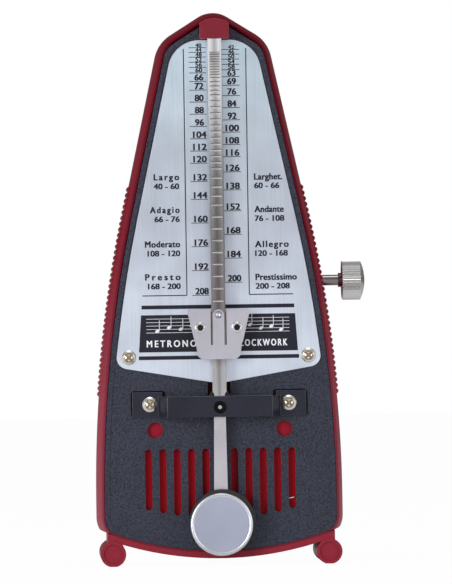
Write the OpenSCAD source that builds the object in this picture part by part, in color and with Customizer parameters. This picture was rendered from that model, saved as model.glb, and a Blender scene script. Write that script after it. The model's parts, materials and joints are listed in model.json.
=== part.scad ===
// Pocket metronome with a clockwork movement, as an assembly of its separate pieces.
// X points to the right, Y from the front to the back and Z up. The origin lies on the table,
// under the pendulum, in the plane of the case's widest section.

/* [Case] */
// Height of the case's top above the table
case_h = 159.8; // [156:0.2:164]
// Widest width of the case
case_w = 71.6; // [70:0.2:76]
// Width across the two shoulders, measured to their sharp corners
shoulder_w = 32; // [31:0.2:34]
// Slope of the roof lines
roof_angle = 32; // [28:1:35]
// Radius of the long curve of each side
side_r = 390; // [330:5:400]
// Height at which the long sides start to lean in
lean_start = 18.2; // [17.4:0.2:19]
// Radius of the top
apex_r = 7; // [5:0.5:9]
// Radius of each shoulder
shoulder_r = 8; // [6:0.5:10]
// Radius of each lower corner
heel_r = 7; // [5.5:0.5:8]
// Radius of the arched underside
belly_r = 96.5; // [90:0.5:110]
// Height of the lowest point of the underside above the table
belly_gap = 2; // [1.5:0.1:2.5]
// Depth of the case ahead of its widest section
front_d = 15; // [14.5:0.1:16]
// Depth of the case behind its widest section, at the table
back_d = 18; // [17.5:0.1:20]
// Lean of the back wall
back_lean = 3; // [1.5:0.25:3.5]
// How far the front rim stands in from the widest outline
rim_inset = 1.7; // [1.2:0.1:1.8]
// Thickness of the case wall
wall_t = 1.6; // [1.2:0.1:1.8]
// Thickness of the base and of its front lip
lip_t = 1.75; // [1.5:0.05:2]

/* [Grip ribs] */
// Height of the lowest rib
rib_low = 49; // [46:0.5:54]
// Height of the highest rib
rib_high = 110.5; // [104:0.5:114]
// Distance from rib to rib
rib_pitch = 1.65; // [1.5:0.05:2.2]
// Height of a rib above the wall
rib_h = 0.55; // [0.3:0.05:0.7]

/* [Feet] */
// Radius of a foot runner
foot_r = 3.7; // [3.4:0.1:4]
// Distance between the runners' axes
foot_spacing = 62.6; // [60:0.2:63]
// Width of the flat that a runner stands on
foot_flat = 2; // [1.6:0.1:2.4]

/* [Front plate] */
// Thickness of the front plate
plate_t = 1.6; // [1.4:0.1:1.8]
// Depth of the panel's face behind the case rim
plate_recess = 0.6; // [0.5:0.05:0.8]
// Thickness of the case rim beside the plate
rim_t = 0.5; // [0.4:0.05:0.6]
// Thickness of the inner wall behind the plate
inner_t = 0.8; // [0.6:0.05:0.8]
// Width of the plate's raised border
border_w = 1.3; // [1:0.1:1.6]
// Height of the plate's raised border
border_h = 0.35; // [0.2:0.05:0.45]
// Number of sound slots
slot_count = 11; // [7:2:11]
// Width of a sound slot
slot_w = 2.05; // [1.6:0.05:2.4]
// Distance from slot to slot
slot_pitch = 4.15; // [3.6:0.05:4.4]
// Height of the slots' upper ends
slot_top = 33.8; // [30:0.2:34.6]
// Distance from the underside of the case up to the slots' lower ends
slot_rise = 11.6; // [9:0.2:14]
// Radius of the two round holes
eye_r = 2.3; // [1.8:0.1:2.6]
// Distance between the round holes
eye_spacing = 37.4; // [34:0.2:40]
// Height of the round holes
eye_h = 39.3; // [38:0.1:39.8]

/* [Scale plate] */
// Thickness of the scale plate
scale_t = 0.5; // [0.4:0.05:0.6]
// Distance from the front plate's edge to the scale plate's edge
scale_margin = 1.75; // [1.6:0.05:2.4]
// Distance from the case's top down to the scale plate's straight upper edge
scale_top = 7.8; // [7.8:0.1:8.8]
// Height of the lowest point of its lower edge
scale_low = 52.6; // [52:0.1:53.4]
// Height of its lower edge at the side
scale_side_low = 57.4; // [56.6:0.1:58]
// Radius of its lower corners
scale_corner_r = 3.2; // [2:0.1:4]
// Radius of its upper corners
scale_shoulder_r = 9; // [4:0.5:10]
// Distance between its screws
scale_screw_spacing = 52; // [50:0.2:52.4]
// Height of its screws
scale_screw_h = 60.4; // [60:0.1:61.4]
// Radius of its screws' heads
scale_head_r = 1.95; // [1.7:0.05:2.1]

/* [Catch and bridge] */
// Width of the catch
catch_w = 8.9; // [8:0.1:10]
// Distance from the case's top down to the catch's lower edge
catch_low = 7.5; // [7:0.1:7.6]
// Distance from the case's top down to the catch's top
catch_top = 1.3; // [0.8:0.1:1.8]
// Length of the bridge's raised bar
bridge_bar_l = 30.4; // [29:0.2:32]
// Height of the raised bar
bridge_bar_h = 6; // [5.6:0.1:6.4]
// Thickness of the bridge's material
bridge_t = 1.5; // [1.3:0.1:1.6]
// Overall length of the bridge
bridge_l = 50.2; // [49:0.2:52]
// Height of the bridge's pads
bridge_pad_h = 7.3; // [7:0.1:7.6]
// Distance between the bridge's screws
bridge_screw_spacing = 40.2; // [39.6:0.2:42]
// Radius of the bridge screws' heads
bridge_head_r = 2.05; // [1.8:0.05:2.15]

/* [Pendulum] */
// Height of the pendulum's pivot above the table
pivot_h = 45.8; // [45.6:0.1:46]
// Width of the rod
rod_w = 4; // [3.8:0.1:4.2]
// Depth of the rod's channel section
rod_d = 1.4; // [1.3:0.05:1.5]
// Thickness of the rod's sheet
rod_t = 0.5; // [0.4:0.05:0.55]
// Distance from the scale plate to the back of the rod
rod_gap = 3.3; // [3.2:0.05:3.6]
// Distance from the case's top down to the rod's tip
rod_tip = 4.6; // [4.4:0.1:5.2]
// Radius of the bob
bob_r = 8.85; // [8:0.05:9]
// Thickness of the bob
bob_t = 6.85; // [6.2:0.05:7]
// Distance from the pivot to the bob's centre
bob_drop = 34.1; // [33:0.1:34.4]
// Width of the lower arm at its top
arm_w_top = 3.4; // [3.2:0.1:3.6]
// Width of the lower arm at the bob
arm_w_low = 4; // [3.8:0.1:4.4]

/* [Tempo weight] */
// Height of the weight plate's upper edge when it is parked
weight_top = 74.15; // [73.8:0.05:74.6]
// Height of the weight plate
weight_h = 14.5; // [13.8:0.1:15]
// Width of the weight plate at its upper edge
weight_w_top = 18.4; // [17.6:0.2:19.2]
// Width of the weight plate at its lower edge
weight_w_low = 12.1; // [11.5:0.1:12.8]
// Thickness of the weight plate
weight_t = 0.6; // [0.5:0.05:0.7]
// Distance between the weight's rivets
weight_rivet_spacing = 10.6; // [10.2:0.1:11]

/* [Movement] */
// Height of the winding shaft above the table
winder_h = 82; // [81.6:0.1:82.4]
// Gear module of the train
gear_m = 0.44; // [0.438:0.001:0.443]
// Teeth of the great wheel
great_teeth = 48; // [48]
// Teeth of the second wheel and of the third wheel
train_teeth = 42; // [42]
// Leaves of the second arbor's pinion
second_leaves = 12; // [12]
// Leaves of the third arbor's pinion and of the escape pinion
train_leaves = 14; // [14]
// Teeth of the escape wheel
escape_teeth = 15; // [15]
// Thickness of the movement's side plates
side_plate_t = 1; // [0.8:0.1:1.2]
// Radius of the winding shaft
shaft_r = 1.55; // [1.4:0.05:1.6]
// Radius of the barrel
barrel_r = 9.5; // [9:0.1:9.6]
// Turns of the mainspring
spring_turns = 7; // [5:1:8]
// Radius of the winding knob
knob_r = 5.8; // [5:0.1:7]
// Length of the winding knob
knob_l = 6.7; // [5.5:0.1:8]
// Grooves of the knob's knurl
knurl_count = 48; // [36:4:60]

/* [Hidden] */
$fn = 64;
case_red = [0.56, 0.06, 0.13];
panel_black = [0.2, 0.21, 0.25];
bridge_black = [0.13, 0.13, 0.15];
scale_silver = [0.76, 0.78, 0.83];
steel = [0.72, 0.72, 0.74];
nickel = [0.8, 0.79, 0.75];
brass = [0.78, 0.62, 0.3];

// Named clearances
run_gap = 0.05;     // radial play of a pivot in its bearing
fit_gap = 0.1;      // play of a part that seats in a pocket
slide_gap = 0.06;   // play of the tempo weight on the rod
free_gap = 0.35;    // room between parts that pass each other
pin_slack = 0.1;    // radial play of a screw in a plain hole

// Planes of the front, from the plate's back to the pendulum
rim_y = -front_d;
panel_y = rim_y + plate_recess;
plate_back_y = panel_y + plate_t;
scale_y = panel_y - scale_t;
rod_back_y = scale_y - rod_gap;
rod_front_y = rod_back_y - rod_d;
web_y = rod_back_y - rod_t;
weight_back_y = rod_front_y - fit_gap;
weight_front_y = weight_back_y - weight_t;
bridge_in_y = rod_front_y - 0.6;
bridge_front_y = bridge_in_y - bridge_t;

// Insets from the widest outline
plate_inset = rim_inset + rim_t + fit_gap;
scale_inset = plate_inset + scale_margin;
shelf_w = 1.2;

// Red inner wall that lies behind the plate and carries the movement's bars
inner_front_y = plate_back_y + fit_gap;
inner_back_y = inner_front_y + inner_t;

// Heights below the top of the case
scale_top_z = case_h - scale_top;
catch_low_z = case_h - catch_low;
catch_top_z = case_h - catch_top;
rod_tip_z = case_h - rod_tip;

belly_z = belly_gap + belly_r;              // height of the underside arc's centre
floor_r = belly_r - lip_t;                  // upper face of the base
shell_cut_r = floor_r - fit_gap;            // where the shell ends above the base
round_start = back_d / 3;                   // where the back edges start to round off
round_inset = 6;                            // how far the back face stands in

foot_x = foot_spacing / 2;
foot_z = sqrt(foot_r * foot_r - foot_flat * foot_flat / 4);

// Mounting of the movement
side_left_x = -14.2;
side_right_x = 9;
bar_t = 1.5;
bar_back_y = inner_back_y + bar_t;
lower_bar_h = 8;
lower_bar_rise = 0.95;
lower_bar_end = 4;
upper_bar_h = 6;
upper_bar_rise = 10;
upper_bar_end = 2;
lower_bar_z = pivot_h + lower_bar_rise;
upper_bar_z = winder_h + upper_bar_rise;
bridge_hole_x = bridge_screw_spacing / 2;
weight_rivet_x = weight_rivet_spacing / 2;
bar_screw_x = 12;
bar_screw_r = 1.85;
bar_sink_r = bar_screw_r + 0.15;
screw_r = 1;

// Arbors, as [y, z] points
winder_at = [-0.6, winder_h];
escape_at = [-2.4, pivot_h];
// The module belongs to a train of this height from the pendulum up to the winding shaft
train_rise = 36.2;
wheel_m = gear_m * (winder_h - pivot_h) / train_rise;
drum_r = barrel_r * wheel_m / gear_m;
second_dist = wheel_m * (great_teeth + second_leaves) / 2;
train_dist = wheel_m * (train_teeth + train_leaves) / 2;
second_y = 2.4;
second_at = [second_y, winder_h - sqrt(second_dist * second_dist - pow(second_y - winder_at[0], 2))];
third_at = meeting_point(second_at, escape_at, train_dist);

// Places of the wheels along X
great_x = -6.2;
great_t = 1.2;
second_x = -9.8;
third_x = -12.4;
wheel_t = 0.9;
crown_tip_x = -2;
crown_r = 7;
crown_t = 0.8;
crown_depth = 1.6;
crown_back_x = -6.9;
ratchet_teeth = 24;
ratchet_r = 5;
ratchet_depth = 0.9;
ratchet_x = side_right_x + side_plate_t + 0.4;
ratchet_t = 0.9;
click_angle = -8;
click_pivot = winder_at + polar(ratchet_r + 2.6, -50);

staff_r = 1;
pivot_r = 0.55;
pallet_reach = 2.5;
pallet_spread = 50;
pallet_t = 0.3;

// ---- Shared geometry ----

function polar(r, a) = r * [cos(a), sin(a)];

// Point at the same distance from two others, on the side of +Y
function meeting_point(p, q, dist) =
    let (half = (q - p) / 2, l = norm(half))
    p + half + sqrt(dist * dist - l * l) * [-half[1], half[0]] / l;

// Points of an arc of radius r that rounds the corner b between a and c
function rounded_corner(a, b, c, r, steps) =
    let (u = (a - b) / norm(a - b), v = (c - b) / norm(c - b))
    let (half = acos(u * v) / 2, centre = b + (u + v) / norm(u + v) * r / sin(half))
    let (from = b + u * r / tan(half) - centre, to = b + v * r / tan(half) - centre)
    let (a0 = atan2(from[1], from[0]), turn = atan2(to[1], to[0]) - a0)
    let (sweep = turn > 180 ? turn - 360 : turn < -180 ? turn + 360 : turn)
    [for (i = [0:steps]) centre + polar(r, a0 + sweep * i / steps)];

// Right half of the case's widest outline, from the top clockwise
apex_centre = case_h - apex_r;
roof_start = [apex_r * sin(roof_angle), apex_centre + apex_r * cos(roof_angle)];
shoulder_point = [shoulder_w / 2, roof_start[1] - (shoulder_w / 2 - roof_start[0]) * tan(roof_angle)];
// The long side stands upright at lean_start, bows in and runs on straight to the shoulder
side_run = case_w / 2 - shoulder_point[0];
side_rise = shoulder_point[1] - lean_start;
side_bow = min(side_r, 0.98 * (side_run * side_run + side_rise * side_rise) / (2 * side_run));
side_lean = atan2(side_rise, side_bow - side_run) - acos(side_bow / norm([side_bow - side_run, side_rise]));
side_point = [case_w / 2, shoulder_point[1] - (case_w / 2 - shoulder_point[0]) / tan(side_lean)];
heel_centre = [case_w / 2 - heel_r, belly_z - sqrt(pow(belly_r - heel_r, 2) - pow(case_w / 2 - heel_r, 2))];
heel_end = atan2(heel_centre[1] - belly_z, heel_centre[0]);
half_outline = concat(
    [for (a = [0:roof_angle / 4:roof_angle]) [apex_r * sin(a), apex_centre + apex_r * cos(a)]],
    rounded_corner(roof_start, shoulder_point, side_point, shoulder_r, 5),
    rounded_corner(shoulder_point, side_point, [case_w / 2, heel_centre[1]], side_bow, 9),
    [for (i = [0:5]) heel_centre + polar(heel_r, heel_end * i / 5)],
    [for (i = [1:6]) [0, belly_z] + polar(belly_r, heel_end + (-90 - heel_end) * i / 6)]
);
whole_outline = concat(
    half_outline,
    [for (i = [len(half_outline) - 2:-1:1]) [-half_outline[i][0], half_outline[i][1]]]
);

// Half width of the widest outline on the long side, at height z
side_arc_high = lean_start + side_bow * sin(side_lean);
function side_x(z) =
    z > side_arc_high
        ? side_point[0] - (z - side_point[1]) * tan(side_lean)
        : case_w / 2 - side_bow + sqrt(side_bow * side_bow - pow(z - lean_start, 2));

// Extrudes a drawing of the XZ plane from y0 to y1
module along_y(y0, y1) {
    translate([0, y1, 0]) rotate([90, 0, 0]) linear_extrude(y1 - y0) children();
}

// Extrudes a drawing of the YZ plane from x0 to x1
module along_x(x0, x1) {
    translate([x0, 0, 0]) rotate([90, 0, 90]) linear_extrude(x1 - x0) children();
}

// Round bar along Y at the point [x, z]
module bar_y(y0, y1, r, at, r2 = undef) {
    translate([at[0], y0, at[1]]) rotate([-90, 0, 0])
        cylinder(h = y1 - y0, r1 = r, r2 = is_undef(r2) ? r : r2);
}

// Round bar along X at the point [y, z]
module bar_x(x0, x1, r, at, r2 = undef) {
    translate([x0, at[0], at[1]]) rotate([0, 90, 0])
        cylinder(h = x1 - x0, r1 = r, r2 = is_undef(r2) ? r : r2);
}

// Box between two corners
module block(low, high) {
    translate(low) cube(high - low);
}

module outline(inset) {
    offset(delta = -inset) polygon(whole_outline);
}

// One thin section of the case; sections behind the widest one lean with the back
module section(y, inset) {
    translate([0, y, 0]) rotate([back_lean * max(0, y) / back_d, 0, 0]) along_y(0, 0.01) outline(inset);
}

// The case's outer form, grown outwards by grow
module case_form(grow) {
    hull() {
        for (i = [0:4]) section(-front_d * i / 4, rim_inset * i * i / 16 - grow);
        for (a = [0, 30, 55, 75, 90])
            section(round_start + (back_d - round_start) * sin(a), round_inset * (1 - cos(a)) - grow);
    }
}

// The room inside the case
module case_room() {
    hull() {
        section(plate_back_y - fit_gap, plate_inset + shelf_w);
        section(0, wall_t + 0.3);
        for (a = [0, 35, 65, 90])
            section(
                round_start + (back_d - wall_t - round_start) * sin(a),
                wall_t + (round_inset - wall_t) * (1 - cos(a))
            );
    }
}

// Everything below the circle of radius r that follows the underside
module below_arc(r) {
    difference() {
        along_y(-2 * front_d, 2 * back_d) translate([-case_w, -1]) square([2 * case_w, belly_z / 3]);
        bar_y(-3 * front_d, 3 * back_d, r, [0, belly_z], $fn = 240);
    }
}

// Cross-head screw along Y: domed head ahead of y0, shank behind it
module cross_screw(at, y0, head_r, head_h, shank_l) {
    difference() {
        union() {
            intersection() {
                bar_y(y0 - head_h, y0, head_r, at);
                translate([at[0], y0 + head_r * 1.35 - head_h, at[1]]) sphere(head_r * 1.35, $fn = 96);
            }
            bar_y(y0 - head_h / 2, y0 + shank_l, screw_r, at);
        }
        for (a = [45, 135])
            translate([at[0], y0 - head_h, at[1]]) rotate([0, a, 0])
                cube([head_r * 1.15, head_h, head_r * 0.28], center = true);
    }
}

// ---- Case ----

// The screws' spacing belongs to a case of this width and grows with it
spacing_case_w = 71.6;
post_at = [(scale_screw_spacing + case_w - spacing_case_w) / 2, scale_screw_h];
post_r = 2.2;
boss_at = [20, 10];
boss_r = 2.2;
boss_top = 22;
bay_half = 29;

module ribs() {
    side = [for (i = [0:floor((rib_high - rib_low) / rib_pitch) * 2])
        let (z = rib_low + i * rib_pitch / 2)
        [side_x(z) + (i % 2 == 0 ? -0.1 : rib_h), z]];
    last = side[len(side) - 1];
    for (s = [0, 1]) mirror([s, 0, 0])
        intersection() {
            case_form(rib_h);
            along_y(-front_d / 2, front_d / 2)
                polygon(concat(side, [[last[0] - 2, last[1]], [side[0][0] - 2, side[0][1]]]));
        }
}

module case_shell() {
    color(case_red)
    difference() {
        union() {
            case_form(0);
            ribs();
        }
        difference() {
            union() {
                case_room();
                block([-bay_half, plate_back_y - fit_gap, 0], [bay_half, boss_at[1] + 1, foot_z * 4]);
            }
            for (s = [-1, 1]) {
                bar_y(plate_back_y, back_d, post_r, [s * post_at[0], post_at[1]]);
                translate([s * boss_at[0], boss_at[1], 0]) cylinder(h = boss_top, r = boss_r);
                block([s * boss_at[0] - 0.8, boss_at[1], 0], [s * boss_at[0] + 0.8, back_d, boss_top]);
            }
        }
        along_y(rim_y - 1, plate_back_y) outline(plate_inset - fit_gap);
        below_arc(shell_cut_r);
        for (s = [-1, 1]) {
            bar_y(plate_back_y - 1, plate_back_y + 8, screw_r, [s * post_at[0], post_at[1]]);
            translate([s * boss_at[0], boss_at[1], 0]) cylinder(h = boss_top - 3, r = screw_r);
        }
        bar_x(shaft_r, case_w, bush_r, winder_at);
    }
}

// The base has the lip seen under the plate, and the two round runners it stands on
base_back_y = round_start + (back_d - round_start) * sqrt(1 - pow(1 - lip_t / round_inset, 2));
base_front_y = rim_y - 0.2;
foot_front_y = rim_y - 0.6;
foot_back_y = base_back_y + 2;
neck_half = 1.6;
rail_h = 2;
base_half = foot_x + neck_half;
foot_dish = 0.5;
foot_rim = 0.9;
base_head_r = 1.7;
base_head_h = 0.6;
base_seat_z = belly_at(boss_at[0] + base_head_r) + base_head_h;

module base_tray() {
    color(case_red)
    difference() {
        union() {
            intersection() {
                along_y(base_front_y, base_back_y)
                    difference() {
                        translate([0, belly_z]) circle(belly_r, $fn = 240);
                        translate([0, belly_z]) circle(floor_r, $fn = 240);
                    }
                block([-base_half, base_front_y, 0], [base_half, base_back_y, 3 * foot_r]);
            }
            // rail behind the plate's lower edge
            intersection() {
                along_y(plate_back_y + fit_gap, plate_back_y + 1.3)
                    difference() {
                        translate([0, belly_z]) circle(floor_r + 0.2, $fn = 240);
                        translate([0, belly_z]) circle(floor_r - rail_h, $fn = 240);
                    }
                block([-boss_at[0], rim_y, 0], [boss_at[0], back_d, 3 * foot_r]);
            }
            for (s = [-1, 1]) {
                bar_y(foot_front_y, foot_back_y, foot_r, [s * foot_x, foot_z]);
                // neck between runner and lip
                difference() {
                    translate([s * foot_x, 0, 0])
                        block([-neck_half, base_front_y, foot_z], [neck_half, base_back_y, 3 * foot_r]);
                    bar_y(2 * rim_y, 2 * back_d, floor_r, [0, belly_z], $fn = 240);
                }
            }
        }
        for (s = [-1, 1]) {
            bar_y(foot_front_y - 1, foot_front_y + foot_dish, foot_r - foot_rim, [s * foot_x, foot_z]);
            bar_y(foot_back_y - foot_dish, foot_back_y + 1, foot_r - foot_rim, [s * foot_x, foot_z]);
            translate([s * boss_at[0], boss_at[1], 0]) {
                cylinder(h = boss_top, r = screw_r + pin_slack);
                cylinder(h = base_seat_z, r = base_head_r + pin_slack);
            }
        }
        block([-case_w, -2 * front_d, -foot_r], [case_w, 2 * back_d, 0]);
    }
}

// Height of the arched underside at x
function belly_at(x) = belly_z - sqrt(belly_r * belly_r - x * x);

// The heads lie in counterbores of the base
module base_screws() {
    color(nickel)
    for (s = [-1, 1]) translate([s * boss_at[0], boss_at[1], 0])
        difference() {
            union() {
                translate([0, 0, base_seat_z - base_head_h]) cylinder(h = base_head_h, r = base_head_r);
                translate([0, 0, base_seat_z - 0.2]) cylinder(h = boss_top - 4 - base_seat_z, r = screw_r);
            }
            for (a = [0, 90])
                translate([0, 0, base_seat_z - base_head_h]) rotate([0, 0, a])
                    cube([base_head_r * 1.3, base_head_r * 0.3, base_head_h], center = true);
        }
}

// ---- Front ----

pad_low = pivot_h - bridge_bar_h / 2 + 0.2;
pad_recess = 0.4;
hatch_r = 3.3;
hatch_top = scale_low + hatch_r + 0.4;

// Opening round the pendulum's staff, up to a little way behind the scale plate
module hatch() {
    union() {
        translate([0, pivot_h]) circle(hatch_r);
        translate([-hatch_r, pivot_h]) square([2 * hatch_r, hatch_top - hatch_r - pivot_h]);
        translate([0, hatch_top - hatch_r]) circle(hatch_r);
    }
}

module sound_slots() {
    half = (slot_count - 1) / 2;
    for (i = [-half:half]) {
        x = i * slot_pitch;
        low = belly_z - sqrt(pow(belly_r - slot_rise, 2) - x * x) + slot_w / 2;
        translate([x - slot_w / 2, low]) square([slot_w, slot_top - slot_w / 2 - low]);
        translate([x, low]) circle(slot_w / 2);
        translate([x, slot_top - slot_w / 2]) circle(slot_w / 2);
    }
}

module front_plate() {
    color(panel_black)
    difference() {
        union() {
            along_y(panel_y, plate_back_y) outline(plate_inset);
            along_y(panel_y - border_h, panel_y) difference() {
                outline(plate_inset);
                outline(plate_inset + border_w);
            }
        }
        along_y(rim_y - 1, 0) sound_slots();
        // shallow arc that the slots end on
        intersection() {
            along_y(panel_y - 1, panel_y + 0.2) difference() {
                translate([0, belly_z]) circle(belly_r - slot_rise + 0.5, $fn = 240);
                translate([0, belly_z]) circle(belly_r - slot_rise + 0.2, $fn = 240);
            }
            block([-slot_pitch * 4.6, rim_y, 0], [slot_pitch * 4.6, 0, slot_top]);
        }
        for (s = [-1, 1]) {
            bar_y(rim_y - 1, 0, eye_r, [s * eye_spacing / 2, eye_h]);
            bar_y(rim_y - 1, 0, screw_r + pin_slack, [s * post_at[0], post_at[1]]);
            bar_y(rim_y - 1, 0, screw_r + pin_slack, [s * bridge_hole_x, lower_bar_z]);
            bar_y(rim_y - 1, 0, screw_r + pin_slack, [s * bar_screw_x, upper_bar_z]);
            bar_y(panel_y, panel_y + 1, bar_sink_r, [s * bar_screw_x, upper_bar_z], screw_r + pin_slack);
            bar_y(rim_y - 1, plate_back_y - 0.3, catch_peg_r + run_gap, [s * catch_peg_x, catch_peg_z]);
            // pocket for the bridge's pad
            block(
                [s > 0 ? pocket_in : -pocket_out, rim_y - 1, pad_low - fit_gap],
                [s > 0 ? pocket_out : -pocket_in, pad_back_y, pad_low + bridge_pad_h + fit_gap]
            );
        }
        along_y(rim_y - 1, 0) hatch();
        // the border stops on both sides of the catch
        block([-catch_w / 2 - fit_gap, rim_y, catch_low_z], [catch_w / 2 + fit_gap, panel_y, case_h]);
    }
}

// Red wall close behind the plate, which shows through the slots and the hatch
module inner_panel() {
    inset = plate_inset + shelf_w + fit_gap;
    color(case_red)
    difference() {
        along_y(inner_front_y, inner_back_y)
            intersection() {
                outline(inset);
                translate([0, belly_z]) circle(floor_r - rail_h - fit_gap, $fn = 240);
                translate([-case_w / 2, 0]) square([case_w, upper_bar_z + upper_bar_h]);
            }
        bar_y(inner_front_y - 1, inner_back_y + 1, staff_r + free_gap, [0, pivot_h]);
        for (s = [-1, 1]) {
            bar_y(inner_front_y - 1, inner_back_y + 1, post_r + fit_gap, [s * post_at[0], post_at[1]]);
            for (at = [[s * bridge_hole_x, lower_bar_z], [s * bar_screw_x, upper_bar_z]])
                bar_y(inner_front_y - 1, inner_back_y + 1, screw_r + pin_slack, at);
            // room for the ends of a cover's pegs
            bar_y(inner_front_y - 1, inner_back_y + 1, eye_r + fit_gap, [s * eye_spacing / 2, eye_h]);
        }
    }
}

// Outline of the scale plate with sharp corners, down to the height low at its sides
module scale_form(low) {
    intersection() {
        outline(scale_inset);
        polygon([
            [-case_w / 2, low], [0, low - scale_side_low + scale_low], [case_w / 2, low],
            [case_w / 2, scale_top_z], [-case_w / 2, scale_top_z]
        ]);
    }
}

module scale_plate() {
    color(scale_silver)
    difference() {
        along_y(scale_y, panel_y)
            intersection() {
                offset(r = scale_corner_r, $fn = 48)
                    offset(delta = -scale_corner_r) scale_form(scale_side_low);
                offset(r = scale_shoulder_r, $fn = 96)
                    offset(delta = -scale_shoulder_r) scale_form(0);
            }
        for (s = [-1, 1])
            bar_y(scale_y - 1, panel_y + 1, screw_r + pin_slack, [s * post_at[0], post_at[1]]);
    }
}

scale_shank_l = 9;

module scale_screws() {
    color(nickel)
    for (s = [-1, 1]) cross_screw([s * post_at[0], post_at[1]], scale_y, scale_head_r, 1, scale_shank_l);
}

catch_peg_r = 0.8;
catch_peg_x = 2.4;
catch_peg_z = catch_low_z + 2.6;
catch_arch_r = 8.1;
slot_floor_y = rod_back_y + free_gap;
slot_front_y = rod_front_y - free_gap;
catch_front_y = slot_front_y - 1.1;

module catch_front() {
    intersection() {
        translate([-catch_w / 2, catch_low_z]) square([catch_w, catch_top_z - catch_low_z]);
        translate([0, catch_top_z - catch_arch_r]) circle(catch_arch_r, $fn = 120);
    }
}

module pendulum_catch() {
    color(case_red)
    difference() {
        union() {
            along_y(catch_front_y, rim_y - fit_gap) catch_front();
            // the root fits inside the case rim
            along_y(rim_y - 2 * fit_gap, panel_y)
                intersection() {
                    catch_front();
                    outline(plate_inset);
                }
            for (s = [-1, 1])
                bar_y(panel_y - 0.5, panel_y + 1, catch_peg_r, [s * catch_peg_x, catch_peg_z]);
        }
        // way of the rod's tip, open to both sides
        block([-catch_w, slot_front_y, catch_low_z - 1], [catch_w, slot_floor_y, rod_tip_z + 0.7]);
    }
}

leg_foot = bridge_bar_l / 2 + 2.5;
pad_in = leg_foot - bridge_t * 0.75;
pocket_in = pad_in - 2 * fit_gap;
pocket_out = bridge_l / 2 + fit_gap;
pad_front_y = panel_y - 0.8;
pad_back_y = panel_y + pad_recess;

module pendulum_bridge() {
    bar = bridge_bar_l / 2;
    color(bridge_black)
    difference() {
        union() {
            translate([0, 0, pivot_h - bridge_bar_h / 2 + 0.2])
                linear_extrude(bridge_bar_h)
                    polygon([
                        [-leg_foot, pad_back_y], [-leg_foot, pad_front_y], [-bar, bridge_front_y],
                        [bar, bridge_front_y], [leg_foot, pad_front_y], [leg_foot, pad_back_y],
                        [pad_in, pad_back_y], [bar - bridge_t * 0.8, bridge_in_y],
                        [-bar + bridge_t * 0.8, bridge_in_y], [-pad_in, pad_back_y]
                    ]);
            for (s = [0, 1]) mirror([s, 0, 0])
                block([pad_in, pad_front_y, pad_low], [bridge_l / 2, pad_back_y, pad_low + bridge_pad_h]);
        }
        bar_y(bridge_front_y - 1, bridge_in_y + 1, bearing_r, [0, pivot_h]);
        for (s = [-1, 1])
            bar_y(pad_front_y - 1, pad_back_y + 1, screw_r + pin_slack, [s * bridge_hole_x, lower_bar_z]);
    }
}

bridge_head_h = 1.1;

module bridge_screws() {
    color(nickel)
    for (s = [-1, 1])
        cross_screw(
            [s * bridge_hole_x, lower_bar_z], pad_front_y, bridge_head_r, bridge_head_h,
            bar_back_y - pad_front_y
        );
}

bearing_r = 1.85;

module front_bearing() {
    color(bridge_black)
    difference() {
        bar_y(bridge_front_y - 0.3, bridge_in_y, bearing_r, [0, pivot_h]);
        bar_y(bridge_front_y - 1, bridge_in_y + 1, pivot_r + run_gap, [0, pivot_h]);
        bar_y(bridge_front_y - 0.4, bridge_front_y, pivot_r + 0.7, [0, pivot_h], pivot_r + run_gap);
    }
}

// ---- Frame of the movement ----

side_low = pivot_h - 9.8;
side_high = upper_bar_z + 4;
side_back_low = 12.2;
side_back_high = 10.4;
tab_h = 4;
tab_form = [
    [bar_back_y, -tab_h / 2], [inner_back_y, -tab_h / 2], [inner_back_y, tab_h / 2], [bar_back_y, tab_h / 2]
];
pillar_r = 1.5;
pillar_inset = 2.6;
pillar_front_y = bar_back_y + pillar_r + 0.3;
pillar_at = [
    [pillar_front_y, side_high - pillar_inset], [8.2, side_high - pillar_inset],
    [pillar_front_y, side_low + pillar_inset], [9.8, side_low + pillar_inset + 0.3]
];
cock_y = [7.3, 8.8];
cock_z = [pivot_h - 2.2, pivot_h + 1.8];

// Flat bar behind the inner wall, pierced for the side plates' tabs
module cross_bar(half, z, height, bolt_x) {
    difference() {
        block([-half, inner_back_y, z - height / 2], [half, bar_back_y, z + height / 2]);
        for (x = [side_left_x, side_right_x])
            block(
                [x - run_gap, inner_back_y - 1, z - tab_h / 2 - run_gap],
                [x + side_plate_t + run_gap, bar_back_y + 1, z + tab_h / 2 + run_gap]
            );
        for (s = [-1, 1])
            bar_y(inner_back_y - 1, bar_back_y + 1, screw_r, [s * bolt_x, z]);
    }
}

module lower_bar() {
    color(steel)
    difference() {
        cross_bar(bridge_hole_x + lower_bar_end, lower_bar_z, lower_bar_h, bridge_hole_x);
        bar_y(inner_back_y - 1, bar_back_y + 1, staff_r + free_gap, [0, pivot_h]);
    }
}

module upper_bar() {
    half = side_plate_t + upper_bar_end - side_left_x;
    color(steel) cross_bar(half, upper_bar_z, upper_bar_h, bar_screw_x);
}

module bar_screws() {
    color(nickel)
    for (s = [-1, 1]) {
        bar_y(panel_y + 0.02, panel_y + 0.9, bar_screw_r, [s * bar_screw_x, upper_bar_z], screw_r);
        bar_y(panel_y + 0.5, bar_back_y, screw_r, [s * bar_screw_x, upper_bar_z]);
    }
}

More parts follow.
